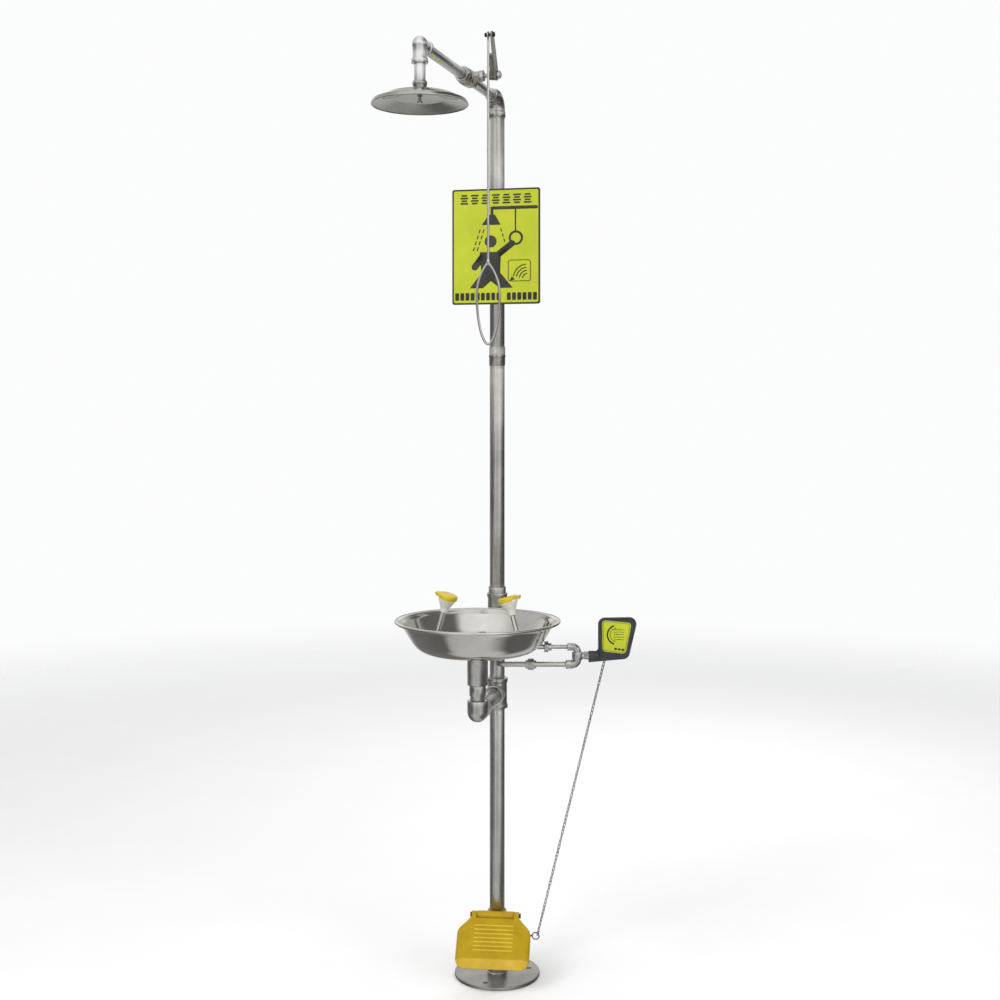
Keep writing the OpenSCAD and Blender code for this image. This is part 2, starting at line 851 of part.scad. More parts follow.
module branch_pipe() {
    color(steel) branch_frame() {
        difference() {
            union() {
                to_basin(26, branch_z) rod(branch_r, 0, -basin_by - bend_r - 26);
                translate([0, basin_by + bend_r, branch_z]) rotate([90, 0, 0]) bend_solid(branch_r, bend_r);
                translate([bend_r, basin_by, branch_z]) rotate([0, 90, 0])
                    rod(branch_r, 0, valve_x - 14.2 - bend_r);
            }
            to_basin(25, branch_z) rod(branch_r - 1.2, 0, -basin_by - bend_r - 25);
            translate([0, basin_by + bend_r, branch_z]) rotate([90, 0, 0])
                bend_solid(branch_r - 1.2, bend_r);
            translate([bend_r, basin_by, branch_z]) rotate([0, 90, 0])
                rod(branch_r - 1.2, -0.01, valve_x - 12 - bend_r);
        }
    }
}

module branch_union() {
    color(steel) branch_x(80, branch_z) difference() {
        union() {
            span(-7) hex(24, 14);
            rod(10, -13, 13);
        }
        rod(branch_r + gap, -20, 20);
    }
}

// The two bends of the eyewash valve turn from its upright run to level, towards the basin
module lower_elbow() {
    foot = branch_z + 12;
    color(steel) difference() {
        union() {
            branch_frame() translate([valve_x, basin_by, foot]) rotate([0, 180, 0]) bend_solid(9.5, 12);
            branch_x(valve_x - 28, branch_z) rod(10.5, 0, 16);
        }
        branch_frame() translate([valve_x, basin_by, foot]) rotate([0, 180, 0]) bend_solid(4.5, 12);
        branch_x(valve_x - 30, branch_z) rod(branch_r + gap, 0, 16);
    }
}

module upper_elbow() {
    color(steel) difference() {
        union() {
            branch_frame() translate([valve_x, basin_by, inlet_z - 12])
                rotate([0, 0, 180]) bend_solid(8.5, 12);
            branch_x(valve_x - 24, inlet_z) rod(9.2, 0, 12);
        }
        branch_frame() translate([valve_x, basin_by, inlet_z - 12]) rotate([0, 0, 180]) bend_solid(3.6, 12);
        branch_x(valve_x - 26, inlet_z) rod(upper_r + gap, 0, 13);
    }
}

module valve_elbows() {
    lower_elbow();
    upper_elbow();
}

module eyewash_valve_body() {
    color(steel) difference() {
        union() {
            branch_frame() translate([valve_x, basin_by, 0]) rod(13, branch_z + 12.1, inlet_z - 12.1);
            branch_x(valve_x, valve_z) rod(8, 0, 16);
        }
        branch_frame() translate([valve_x, basin_by, 0]) {
            rod(4, branch_z + 10, inlet_z - 10);
            span(valve_z) sphere(r = 8.1);
        }
        branch_x(valve_x, valve_z) rod(3.5 + fit, 0, 20);
    }
}

module valve_packing_nut() {
    color(brass) branch_x(valve_x + 16, valve_z) difference() {
        hex(17, 11);
        span(-1) cylinder(r = 3.5 + fit, h = 13);
    }
}

module inlet_fitting() {
    color(steel) branch_x(0, inlet_z) {
        difference() {
            union() {
                rod(upper_r, fitting_x - 9, valve_x - 13.2);
                span(fitting_x - 9.5) hex(23, 9.5);
                rod(9, fitting_x - 1, fitting_x + 8);
            }
            rod(6 + gap, fitting_x - 20, fitting_x + 4);
            rod(3.6, fitting_x, valve_x);
        }
    }
}

module eyewash_ball_stem() {
    color(steel) difference() {
        union() {
            branch_x(valve_x, valve_z) sphere(r = 8);
            branch_x(valve_x, valve_z) rod(3.5, 0, 50);
        }
        branch_frame() translate([valve_x, basin_by, 0]) rod(4, valve_z - 20, valve_z - 3);
    }
}

// Flag outline, in the branch frame's XZ plane, relative to the stem's axis
flag_r = 16;
module flag_outline() {
    top = flag_h;
    right = plate_x0 + flag_w;
    polygon(concat(
        [[hub_x0, -16], [hub_x0, 11]],
        [[plate_x0 - 4, 11], [plate_x0, 16]],
        arc([plate_x0 + flag_r, top - flag_r - 1], flag_r, 180, 90, 6),
        arc([right - flag_r, top - flag_r], flag_r, 90, -10, 6),
        arc([right - 16 - flag_r, flag_r - 8.5], flag_r, -10, -82, 6)));
}

module push_flag() {
    color(ink) difference() {
        union() {
            branch_frame() translate([0, basin_by + flag_t / 2, valve_z]) rotate([90, 0, 0])
                linear_extrude(flag_t) flag_outline();
            branch_x(hub_x0, valve_z) rod(10, 0, 24);
            branch_x(lug_x - 1.5, lug_z) translate([0, lug_y - basin_by, 0]) cylinder(r = 5.5, h = 3);
            branch_frame() translate([lug_x - 1.5, basin_by, valve_z]) rotate([lug_lift, 0, 0])
                translate([0, 2, -4]) cube([3, lug_r - 3, 8]);
        }
        branch_x(hub_x0 - 1, valve_z) rod(3.5 + fit, 0, 26);
        branch_x(lug_x - 3, lug_z) translate([0, lug_y - basin_by, 0]) cylinder(r = 3.2, h = 6);
    }
}

module flag_label() {
    color(lime) branch_frame() translate([plate_x0 + 9, basin_by - flag_t / 2, valve_z]) rotate([90, 0, 0])
        linear_extrude(0.6) polygon([[1, 10], [0, 86], [72, 79], [57, 4]]);
}

// ---- Treadle and chain ----

module treadle_frame() {
    rotate([0, 0, treadle_yaw]) translate([0, -hinge_y, hinge_z]) children();
}

// Local X across, local Y down the slope from the hinge, local Z out of the tread
module on_slope() {
    treadle_frame() rotate([-treadle_slope, 0, 180]) children();
}

// Right edge of the treadle's plan: hinge ear, curved shoulder, straight side, round front corner
half_w = treadle_w / 2;
corner = 24;
shoulder = arc([half_w - 62, 64], 62, -50, 0, 8);
edge_line = concat(
    [[hinge_w / 2, 10]],
    shoulder,
    arc([half_w - corner, treadle_l - corner], corner, 0, 90, 6));
function flipped(p) = [for (i = [len(p) - 1:-1:0]) [-p[i][0], p[i][1]]];

// Side outline: flat tread, rolled down at its front edge; x is along the slope, y is out of it
roll_r = 18;
tread_t = 4;
tread_top = 9;
tread_side = concat(
    [[10, tread_top]],
    arc([treadle_l - roll_r, tread_top - roll_r], roll_r, 90, 0, 8),
    arc([treadle_l - roll_r, tread_top - roll_r], roll_r - tread_t, 0, 90, 8),
    [[10, tread_top - tread_t]]);

module treadle() {
    ear_w = 13;
    color(tread_yellow) on_slope() {
        difference() {
            intersection() {
                rotate([90, 0, 90]) translate([0, 0, -half_w - 5]) linear_extrude(treadle_w + 10)
                    polygon(tread_side);
                span(-30) linear_extrude(60) polygon(concat(edge_line, flipped(edge_line)));
            }
            translate([-hinge_w / 2 + ear_w, 5, 0]) cube([hinge_w - 2 * ear_w, 8, 20]);
        }
        // side skirts under the tread, from the shoulders to the front roll
        for (side = [0, 1]) mirror([side, 0, 0])
            span(-8) linear_extrude(tread_top - tread_t + 8.01)
                polygon(thicken(concat(shoulder, [[half_w, treadle_l - roll_r - 4]]), 4));
        for (side = [-1, 1]) translate([side * (hinge_w - ear_w) / 2, 0, 0]) rotate([0, 90, 0]) difference() {
            union() {
                cylinder(r = 9, h = ear_w, center = true);
                translate([-9, 0, -ear_w / 2]) cube([9, 12, ear_w]);
            }
            cylinder(r = pin_r + fit, h = 40, center = true);
        }
        for (i = [0:rib_count - 1])
            translate([-50, 32 + 11 * i, tread_top - 0.01]) cube([100, 5, 2.4]);
    }
}

module treadle_bracket() {
    wide = hinge_w - 28;
    color(tread_yellow) difference() {
        union() {
            treadle_frame() translate([-wide / 2, 0, 0]) rotate([90, 0, 90]) linear_extrude(wide)
                polygon(concat(
                    arc([0, 0], 9, 60, 270, 14),
                    [[hinge_y - pipe_r - 2, -9], [hinge_y - pipe_r - 2, 3]]));
            rod(pipe_r + 5, hinge_z - 30, hinge_z - 1);
            rotate([0, 0, treadle_yaw]) translate([-14, pipe_r, hinge_z - 27]) cube([28, 18, 23]);
        }
        rod(pipe_r + gap, hinge_z - 31, hinge_z + 20);
        rotate([0, 0, treadle_yaw]) translate([-1, 0, hinge_z - 31]) cube([2, 60, 50]);
        treadle_frame() rotate([0, 90, 0]) cylinder(r = pin_r + fit, h = 300, center = true);
    }
}

module hinge_pin() {
    color(ink) treadle_frame() rotate([0, 90, 0]) {
        cylinder(r = pin_r, h = hinge_w + 8, center = true);
        for (side = [-1, 1]) translate([0, 0, side * (hinge_w / 2 + 2.5)])
            cylinder(r = 6, h = 3, center = true);
    }
}

module ring(rr, r) {
    rotate_extrude($fn = 48) translate([rr, 0]) circle(r = r, $fn = 24);
}

module treadle_eye() {
    color(ink) rotate([0, 0, treadle_yaw])
        translate([eye_u, -hinge_y - eye_v * cos(treadle_slope), hinge_z - eye_v * sin(treadle_slope)]) {
            rotate([90, 0, 0]) ring(eye_rr, wire_r);
            rotate([0, -90, 0]) rod(2.2, eye_rr, 13);
        }
}

// Local Z runs from the lug down to the treadle's eye
module on_chain() {
    translate(lug_at)
        rotate([0, acos(chain_v[2] / chain_l), atan2(chain_v[1], chain_v[0])]) children();
}

// Turn about the chain that brings its local X nearest to a direction
function about_chain(v) =
    let (pole = acos(chain_v[2] / chain_l), turn = atan2(chain_v[1], chain_v[0]))
    atan2(
        v * [-sin(turn), cos(turn), 0],
        v * [cos(pole) * cos(turn), cos(pole) * sin(turn), -sin(pole)]);

module chain() {
    color(steel) on_chain() {
        rotate([0, 0, about_chain([cos(branch_yaw), sin(branch_yaw), 0])])
            translate([0, 0, link_rr]) rotate([90, 0, 0]) ring(link_rr, link_wire);
        rotate([0, 0, about_chain([-sin(treadle_yaw), cos(treadle_yaw), 0])])
            translate([0, 0, chain_l - foot_rr]) rotate([90, 0, 0]) ring(foot_rr, link_wire);
        rod(1.6, 2 * link_rr - 0.6, chain_l - 2 * foot_rr + 0.6);
    }
}

floor_flange();
lower_pipe();
drain_tee();
blind_plug();
mid_pipe();
branch_tee();
tee_nipple();
inlet_tee();
riser_pipe();
pipe_coupling();
upper_pipe();
top_elbow();
arm_inner_pipe();
shower_valve_body();
shower_valve_nuts();
shower_valve_seats();
shower_packing_nut();
arm_outer_pipe();
head_elbow();
drop_pipe();
head_collar();
shower_bell();
spray_pan();
deluge_bolt();
shower_ball();
shower_stem();
shower_lever();
lever_nut();
lever_pin();
pull_rod();
sign_plate();
sign_face();
sign_symbol();
sign_clamps();
basin();
strainer();
drain_body();
drain_locknut();
drain_neck_nut();
drain_elbow();
waste_pipe();
manifold();
nozzle_bodies();
spray_discs();
branch_pipe();
branch_union();
eyewash_valve_body();
valve_elbows();
valve_packing_nut();
inlet_fitting();
eyewash_ball_stem();
push_flag();
flag_label();
cap_left();
cap_right();
treadle();
treadle_bracket();
hinge_pin();
treadle_eye();
chain();
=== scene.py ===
"""Looks of a floor-standing emergency shower and eyewash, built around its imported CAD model."""

import json
import math
import random

import bmesh
import bpy
from mathutils import Matrix, Vector


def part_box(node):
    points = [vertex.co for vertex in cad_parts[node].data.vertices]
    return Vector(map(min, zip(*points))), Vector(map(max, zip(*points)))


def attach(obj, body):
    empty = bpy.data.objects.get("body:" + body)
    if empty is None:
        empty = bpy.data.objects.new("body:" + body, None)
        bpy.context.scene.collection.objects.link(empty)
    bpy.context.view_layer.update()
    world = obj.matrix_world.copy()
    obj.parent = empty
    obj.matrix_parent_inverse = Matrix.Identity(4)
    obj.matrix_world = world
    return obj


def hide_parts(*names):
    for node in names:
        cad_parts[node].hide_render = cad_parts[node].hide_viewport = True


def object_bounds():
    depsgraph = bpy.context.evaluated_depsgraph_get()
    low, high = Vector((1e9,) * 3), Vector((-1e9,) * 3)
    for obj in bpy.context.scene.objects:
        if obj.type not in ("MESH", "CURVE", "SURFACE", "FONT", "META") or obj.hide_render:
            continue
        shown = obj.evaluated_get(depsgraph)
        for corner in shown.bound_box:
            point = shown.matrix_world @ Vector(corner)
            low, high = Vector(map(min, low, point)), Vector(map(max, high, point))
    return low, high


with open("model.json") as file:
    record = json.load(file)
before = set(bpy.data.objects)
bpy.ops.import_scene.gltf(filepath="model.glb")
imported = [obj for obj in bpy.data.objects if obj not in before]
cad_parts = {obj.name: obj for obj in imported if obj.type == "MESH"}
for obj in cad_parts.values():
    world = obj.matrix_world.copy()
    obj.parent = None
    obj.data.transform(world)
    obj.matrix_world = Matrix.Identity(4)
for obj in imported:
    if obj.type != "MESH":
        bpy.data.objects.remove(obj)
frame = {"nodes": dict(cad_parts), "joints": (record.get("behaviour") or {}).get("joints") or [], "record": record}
cad_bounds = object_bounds()
nodes = frame["nodes"]
MM = 0.001
Z = Vector((0, 0, 1))

# ---------------------------------------------------------------- frames taken from the record


def joint_frame(name):
    """Matrix of a joint: its pivot, local X along its axis, local Z up."""
    joint = next(j for j in frame["joints"] if j["name"] == name)
    x = Vector(joint["axis"]).normalized()
    z = (Z - x * Z.dot(x)).normalized()
    y = z.cross(x)
    turn = Matrix((x, y, z)).transposed().to_4x4()
    return Matrix.Translation(Vector(joint["pos_m"])) @ turn


def centre(node):
    low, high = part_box(node)
    return (low + high) / 2


def size(node):
    low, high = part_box(node)
    return high - low


# ---------------------------------------------------------------- camera, light and stage

IMAGE = 1000
FOCAL_PX = 1365
HORIZON_PX = 409.4
AXIS_PX = 497.2
CAMERA_YAW = math.radians(11.8)
CAMERA_FAR = 3.508
CAMERA_HIGH = 1.449

camera_data = bpy.data.cameras.new("camera")
camera_data.sensor_width = 36
camera_data.lens = 36 * FOCAL_PX / IMAGE
camera_data.shift_x = (IMAGE / 2 - AXIS_PX) / IMAGE
camera_data.shift_y = -(IMAGE / 2 - HORIZON_PX) / IMAGE
camera = bpy.data.objects.new("camera", camera_data)
bpy.context.scene.collection.objects.link(camera)
camera.location = (CAMERA_FAR * math.sin(CAMERA_YAW), -CAMERA_FAR * math.cos(CAMERA_YAW), CAMERA_HIGH)
camera.rotation_euler = (math.pi / 2, 0, CAMERA_YAW)
bpy.context.scene.camera = camera
bpy.context.scene.view_settings.view_transform = "Standard"
bpy.context.scene.view_settings.look = "None"


def area_light(name, at, aim, wide, high, watts):
    data = bpy.data.lights.new(name, "AREA")
    data.shape = "RECTANGLE"
    data.size = wide
    data.size_y = high
    data.energy = watts
    lamp = bpy.data.objects.new(name, data)
    bpy.context.scene.collection.objects.link(lamp)
    lamp.location = at
    lamp.rotation_euler = (Vector(aim) - Vector(at)).to_track_quat("-Z", "Y").to_euler()
    lamp.visible_glossy = False


area_light("key_light", (-1.7, -3.2, 3.3), (0, 0, 1.3), 1.6, 2.2, 96)
area_light("fill_light", (3.2, -2.2, 1.7), (0, 0, 1.1), 1.2, 2.4, 48)
area_light("back_light", (0.6, 3.0, 2.8), (0, 0, 1.2), 2.4, 1.6, 60)


class Nodes:
    """Short way to write a node tree."""

    def __init__(self, tree):
        self.tree = tree
        tree.nodes.clear()

    def add(self, kind, inputs=None, **settings):
        made = self.tree.nodes.new(kind)
        for key, value in settings.items():
            setattr(made, key, value)
        for key, value in (inputs or {}).items():
            if isinstance(value, bpy.types.NodeSocket):
                self.tree.links.new(value, made.inputs[key])
            else:
                made.inputs[key].default_value = value
        return made

    def math(self, operation, a, b=0.0, c=0.0):
        return self.add("ShaderNodeMath", {0: a, 1: b, 2: c}, operation=operation).outputs[0]

    def ramp(self, fac, stops, interpolation="LINEAR"):
        made = self.add("ShaderNodeValToRGB", {0: fac})
        made.color_ramp.interpolation = interpolation
        points = made.color_ramp.elements
        while len(points) < len(stops):
            points.new(0.5)
        for point, (place, colour) in zip(points, stops):
            point.position = place
            point.color = colour
        return made.outputs[0]

    def mix(self, fac, a, b):
        made = self.add("ShaderNodeMix", {0: fac, 6: a, 7: b}, data_type="RGBA")
        return made.outputs[2]

    def noise(self, where, scale, detail=2.0, rough=0.5):
        return self.add(
            "ShaderNodeTexNoise", {"Vector": where, "Scale": scale, "Detail": detail, "Roughness": rough}
        ).outputs[0]

    def stretched(self, where, scale):
        return self.add("ShaderNodeMapping", {"Vector": where, "Scale": scale}).outputs[0]


def grey(v):
    return (v, v, v, 1)


def build_world():
    """A pale studio with darker sides, one ring for each height, that polished steel can mirror."""
    world = bpy.data.worlds.new("studio")
    bpy.context.scene.world = world
    world.use_nodes = True
    n = Nodes(world.node_tree)
    way = n.add("ShaderNodeTexCoord").outputs["Generated"]
    parts = n.add("ShaderNodeSeparateXYZ", {0: way})
    turn = n.math("ARCTAN2", parts.outputs[0], n.math("MULTIPLY", parts.outputs[1], -1.0))
    turn = n.math("MULTIPLY_ADD", turn, 0.5 / math.pi, 0.5)
    rise = n.math("MULTIPLY_ADD", parts.outputs[2], 0.5, 0.5)

    def ring(*stops):
        return n.ramp(turn, [(place, grey(v)) for place, v in stops], "EASE")

    low = ring((0.0, 0.16), (0.03, 0.50), (0.06, 0.14), (0.29, 0.08), (0.335, 0.50),
               (0.45, 0.64), (0.60, 0.60), (0.64, 0.28), (0.67, 0.05), (0.88, 0.07),
               (0.92, 0.50), (0.97, 0.55), (1.0, 0.16))
    level = ring((0.0, 0.58), (0.06, 0.58), (0.15, 0.36), (0.21, 0.15), (0.37, 0.10),
                 (0.41, 0.42), (0.44, 0.82), (0.48, 0.55), (0.53, 0.44), (0.58, 0.66),
                 (0.63, 0.88), (0.675, 0.62), (0.72, 0.12), (0.93, 0.04), (0.97, 0.34),
                 (1.0, 0.58))
    upper = ring((0.0, 1.00), (0.10, 0.90), (0.22, 0.62), (0.34, 0.70), (0.42, 1.20), (0.50, 1.10),
                 (0.60, 1.30), (0.70, 1.05), (0.78, 0.70), (0.83, 0.42), (0.93, 0.45), (1.0, 1.00))
    high = ring((0.0, 0.70), (0.10, 0.62), (0.30, 0.55), (0.40, 0.90), (0.50, 1.00), (0.62, 0.95),
                (0.68, 0.16), (0.93, 0.13), (0.97, 0.60), (1.0, 0.70))
    room = n.mix(n.ramp(rise, [(0.26, grey(0)), (0.36, grey(1))], "EASE"), low, level)
    room = n.mix(n.ramp(rise, [(0.54, grey(0)), (0.62, grey(1))], "EASE"), room, upper)
    room = n.mix(n.ramp(rise, [(0.68, grey(0)), (0.76, grey(1))], "EASE"), room, high)
    room = n.mix(n.ramp(rise, [(0.90, grey(0)), (0.98, grey(1))], "EASE"), room, grey(0.85))
    room = n.mix(n.ramp(rise, [(0.02, grey(1)), (0.07, grey(0))], "EASE"), room, grey(0.60))
    seen = n.add("ShaderNodeLightPath").outputs["Is Camera Ray"]
    lit = n.add("ShaderNodeBackground", {0: room, 1: 1.0})
    shown = n.add("ShaderNodeBackground", {0: (0.975, 0.978, 0.985, 1), 1: 1.0})
    both = n.add("ShaderNodeMixShader", {0: seen, 1: lit.outputs[0], 2: shown.outputs[0]})
    n.add("ShaderNodeOutputWorld", {0: both.outputs[0]})


build_world()


def build_floor():
    """Round pale floor that fades into the background."""
    mesh = bpy.data.meshes.new("floor")
    shape = bmesh.new()
    bmesh.ops.create_circle(shape, cap_ends=True, segments=96, radius=7)
    shape.to_mesh(mesh)
    shape.free()
    floor = bpy.data.objects.new("floor", mesh)
    bpy.context.scene.collection.objects.link(floor)
    floor.location.z = cad_bounds[0].z - 0.0003
    material = bpy.data.materials.new("floor")
    material.use_nodes = True
    n = Nodes(material.node_tree)
    where = n.add("ShaderNodeTexCoord").outputs["Object"]
    far = n.add("ShaderNodeVectorMath", {0: where}, operation="LENGTH").outputs["Value"]
    fade = n.ramp(n.math("DIVIDE", far, 7.0), [(0.25, grey(0)), (0.9, grey(1))], "EASE")
    cloud = n.noise(where, 3.0, 4.0)
    tone = n.mix(cloud, (0.83, 0.83, 0.835, 1), (0.87, 0.87, 0.872, 1))
    skin = n.add("ShaderNodeBsdfPrincipled", {"Base Color": tone, "Roughness": 0.6})
    glossy = n.add("ShaderNodeLightPath").outputs["Is Glossy Ray"]
    fade = n.math("MAXIMUM", fade, n.math("MULTIPLY", glossy, 0.93))
    clear = n.add("ShaderNodeBsdfTransparent")
    both = n.add("ShaderNodeMixShader", {0: fade, 1: skin.outputs[0], 2: clear.outputs[0]})
    n.add("ShaderNodeOutputMaterial", {0: both.outputs[0]})
    mesh.materials.append(material)


build_floor()

# ---------------------------------------------------------------- materials


def linear(text):
    """An sRGB hex colour as linear numbers."""
    out = []
    for i in (0, 2, 4):
        c = int(text[i:i + 2], 16) / 255
        out.append(c / 12.92 if c <= 0.04045 else ((c + 0.055) / 1.055) ** 2.4)
    return (*out, 1)


def material(name):
    made = bpy.data.materials.new(name)
    made.use_nodes = True
    n = Nodes(made.node_tree)
    return made, n, n.add("ShaderNodeTexCoord").outputs["Object"]


def surface(n, **inputs):
    skin = n.add("ShaderNodeBsdfPrincipled", {k.replace("_", " "): v for k, v in inputs.items()})
    n.add("ShaderNodeOutputMaterial", {0: skin.outputs[0]})


def bump(n, height, strength, distance):
    return n.add(
        "ShaderNodeBump", {"Height": height, "Strength": strength, "Distance": distance}
    ).outputs[0]


def axis_way(n, where, middle):
    """Distance from an upright axis, and height, as a vector: rings and spin marks follow it."""
    flat = n.add("ShaderNodeVectorMath", {0: where, 1: (-middle[0], -middle[1], 0)}, operation="ADD")
    parts = n.add("ShaderNodeSeparateXYZ", {0: flat.outputs[0]})
    reach = n.math("SQRT", n.math("ADD", n.math("POWER", n.math("ABSOLUTE", parts.outputs[0]), 2.0),
                                  n.math("POWER", n.math("ABSOLUTE", parts.outputs[1]), 2.0)))
    return n.add("ShaderNodeCombineXYZ", {0: reach, 1: 0.0, 2: parts.outputs[2]}).outputs[0]


def steel(name, light, dark, low, high, brush, brush_scale, strength, middle=None, wave=0.0):
    """Stainless steel: two tones in soft patches, fine polishing lines, smudges and a trace of waviness."""
    made, n, where = material(name)
    lines_at = n.stretched(where, brush) if middle is None else axis_way(n, where, middle)
    lines = n.noise(lines_at, brush_scale, 3.0, 0.6)
    patches = n.noise(where, 9.0, 4.0, 0.6)
    smudge = n.noise(where, 45.0, 5.0, 0.65)
    tone = n.mix(n.ramp(patches, [(0.35, grey(0)), (0.7, grey(1))]), light, dark)
    tone = n.mix(n.math("MULTIPLY", lines, 0.25), tone, dark)
    rough = n.math("MULTIPLY_ADD", n.ramp(smudge, [(0.4, grey(0)), (0.72, grey(1))]), high - low, low)
    rough = n.math("MULTIPLY_ADD", lines, 0.06, rough)
    normal = bump(n, lines, strength, 0.0002)
    if wave:
        swell = n.noise(where, 14.0, 2.0)
        waves = {"Height": swell, "Strength": wave, "Distance": 0.004, "Normal": normal}
        normal = n.add("ShaderNodeBump", waves).outputs[0]
    surface(n, Base_Color=tone, Metallic=1.0, Roughness=rough, Normal=normal)
    return made


basin_axis = centre("strainer")
head_axis = centre("spray_pan")
STEEL_LIGHT = linear("dad9d6")
STEEL_DARK = linear("b4b2ad")

ALONG_PIPES = (1, 1, 0.03)
ALONG_RODS = (1, 1, 0.05)
MIRROR_LIGHT = linear("e2e1dd")
MIRROR_DARK = linear("cfccc5")

tube_steel = steel("tube_steel", STEEL_LIGHT, STEEL_DARK, 0.24, 0.32, ALONG_PIPES, 900, 0.03)
basin_steel = steel("basin_steel", MIRROR_LIGHT, MIRROR_DARK, 0.04, 0.09,
                    None, 500, 0.02, middle=basin_axis, wave=0.05)
bell_steel = steel("bell_steel", linear("c6c7bf"), linear("a9aaa1"), 0.06, 0.12,
                   None, 500, 0.02, middle=head_axis, wave=0.05)
pan_steel = steel("pan_steel", linear("b6b7ae"), linear("8d8e85"), 0.05, 0.10,
                  None, 500, 0.02, middle=head_axis, wave=0.12)
bright_steel = steel("bright_steel", linear("f4f5f3"), linear("dddedb"), 0.26, 0.36, ALONG_RODS, 700, 0.05)
rod_steel = steel("rod_steel", linear("d9d7d2"), linear("b8b5ae"), 0.14, 0.26, ALONG_RODS, 900, 0.08)
plate_steel = steel("plate_steel", linear("b5b3ad"), linear("94918a"), 0.26, 0.36,
                    (1, 1, 1), 240, 0.05, wave=0.02)


def cast(name, light, dark, low, high, grain, strength):
    """Cast or tumbled metal: grainy, with darker and lighter patches at random."""
    made, n, where = material(name)
    sand = n.noise(where, grain, 3.0, 0.6)
    patches = n.noise(where, 30.0, 5.0, 0.6)
    tone = n.mix(n.ramp(patches, [(0.38, grey(0)), (0.66, grey(1))]), light, dark)
    rough = n.math("MULTIPLY_ADD", patches, high - low, low)
    surface(n, Base_Color=tone, Metallic=1.0, Roughness=rough, Normal=bump(n, sand, strength, 0.0004))
    return made


cast_steel = cast("cast_steel", linear("d2d1ce"), linear("a3a19c"), 0.20, 0.36, 1400, 0.10)
chain_steel = cast("chain_steel", linear("a8a4a6"), linear("5c5558"), 0.25, 0.45, 900, 0.15)
dark_steel = cast("dark_steel", linear("4a4844"), linear("2b2a28"), 0.30, 0.52, 1200, 0.25)
brass_nut = cast("brass_nut", linear("cdbd94"), linear("a8905c"), 0.22, 0.42, 1100, 0.20)


def moulded(name, light, dark, rough, grain, strength, **more):
    """Paint or plastic: faint colour drift, orange peel, fine scuffs."""
    made, n, where = material(name)
    drift = n.noise(where, 22.0, 4.0, 0.6)
    peel = n.noise(where, grain, 2.0)
    scratches = n.noise(n.stretched(where, (1, 0.12, 0.4)), 420.0, 4.0, 0.7)
    scuff = n.ramp(scratches, [(0.60, grey(0)), (0.72, grey(1))])
    tone = n.mix(n.ramp(drift, [(0.3, grey(0)), (0.7, grey(1))]), light, dark)
    gloss = n.math("MULTIPLY_ADD", scuff, 0.16, rough)
    surface(n, Base_Color=tone, Roughness=gloss, Normal=bump(n, peel, strength, 0.0003), **more)
    return made


white_seal = moulded("white_seal", linear("ece9e0"), linear("d5d1c4"), 0.42, 900, 0.10)
black_paint = moulded("black_paint", linear("34342f"), linear("23231f"), 0.38, 700, 0.12)
black_plastic = moulded("black_plastic", linear("34353a"), linear("26272b"), 0.42, 1500, 0.30)
nozzle_plastic = moulded("nozzle_plastic", linear("e6e4d8"), linear("cfcdc0"), 0.34, 700, 0.08,
                         Subsurface_Weight=0.25, Subsurface_Scale=0.004)
cap_plastic = moulded("cap_plastic", linear("cfb81e"), linear("b99c14"), 0.32, 900, 0.08,
                      Subsurface_Weight=0.12, Subsurface_Scale=0.003)
label_ink = moulded("label_ink", linear("2a2b20"), linear("1c1d16"), 0.45, 900, 0.06)


def film():
    """Yellow-green reflective film: a fine honeycomb under a clear skin."""
    made, n, where = material("lime_film")
    cells = n.add("ShaderNodeTexVoronoi", {"Vector": where, "Scale": 420.0}, feature="DISTANCE_TO_EDGE")
    walls = n.ramp(cells.outputs[0], [(0.03, grey(0)), (0.10, grey(1))])
    drift = n.noise(where, 12.0, 3.0)
    tone = n.mix(n.ramp(drift, [(0.3, grey(0)), (0.7, grey(1))]), linear("aeb61c"), linear("a1aa18"))
    tone = n.mix(n.math("MULTIPLY_ADD", walls, 0.10, 0.90), linear("969f16"), tone)
    surface(n, Base_Color=tone, Roughness=0.33, Coat_Weight=0.25, Coat_Roughness=0.12,
            Normal=bump(n, walls, 0.05, 0.0001))
    return made


lime_film = film()


def painted(name, light, dark, grimy):
    """Powder coat on a casting: orange peel, grime in random patches, rubbed scuffs."""
    made, n, where = material(name)
    drift = n.noise(where, 16.0, 5.0, 0.6)
    grime = n.ramp(n.noise(where, 60.0, 6.0, 0.7), [(0.52, grey(0)), (0.78, grey(1))])
    peel = n.noise(where, 520.0, 2.0)
    sand = n.noise(where, 1600.0, 3.0)
    scratches = n.noise(n.stretched(where, (0.1, 1, 1)), 260.0, 5.0, 0.7)
    scuff = n.ramp(scratches, [(0.63, grey(0)), (0.74, grey(1))])
    tone = n.mix(n.ramp(drift, [(0.3, grey(0)), (0.7, grey(1))]), light, dark)
    tone = n.mix(n.math("MULTIPLY", grime, grimy), tone, linear("7c6812"))
    tone = n.mix(n.math("MULTIPLY", scuff, 0.22), tone, linear("d8bc3c"))
    rough = n.math("MULTIPLY_ADD", scuff, 0.15, 0.40)
    height = n.math("MULTIPLY_ADD", sand, 0.35, peel)
    surface(n, Base_Color=tone, Roughness=rough, Specular_IOR_Level=0.32,
            Normal=bump(n, height, 0.22, 0.0005))
    return made


yellow_paint = painted("yellow_paint", linear("b2930c"), linear("9c7f08"), 0.26)
# Lighter yellow for the ribs: partly rubbed paint, partly a painted highlight on their tops.
worn_and_highlit_paint = painted("worn_and_highlit_paint", linear("cfb23c"), linear("bb9c22"), 0.05)
# Lighter yellow for the front lip: partly rubbed paint, partly a painted highlight along its crease.
lip_worn_and_highlit_paint = painted("lip_worn_and_highlit_paint", linear("c6a73a"), linear("b39224"), 0.14)

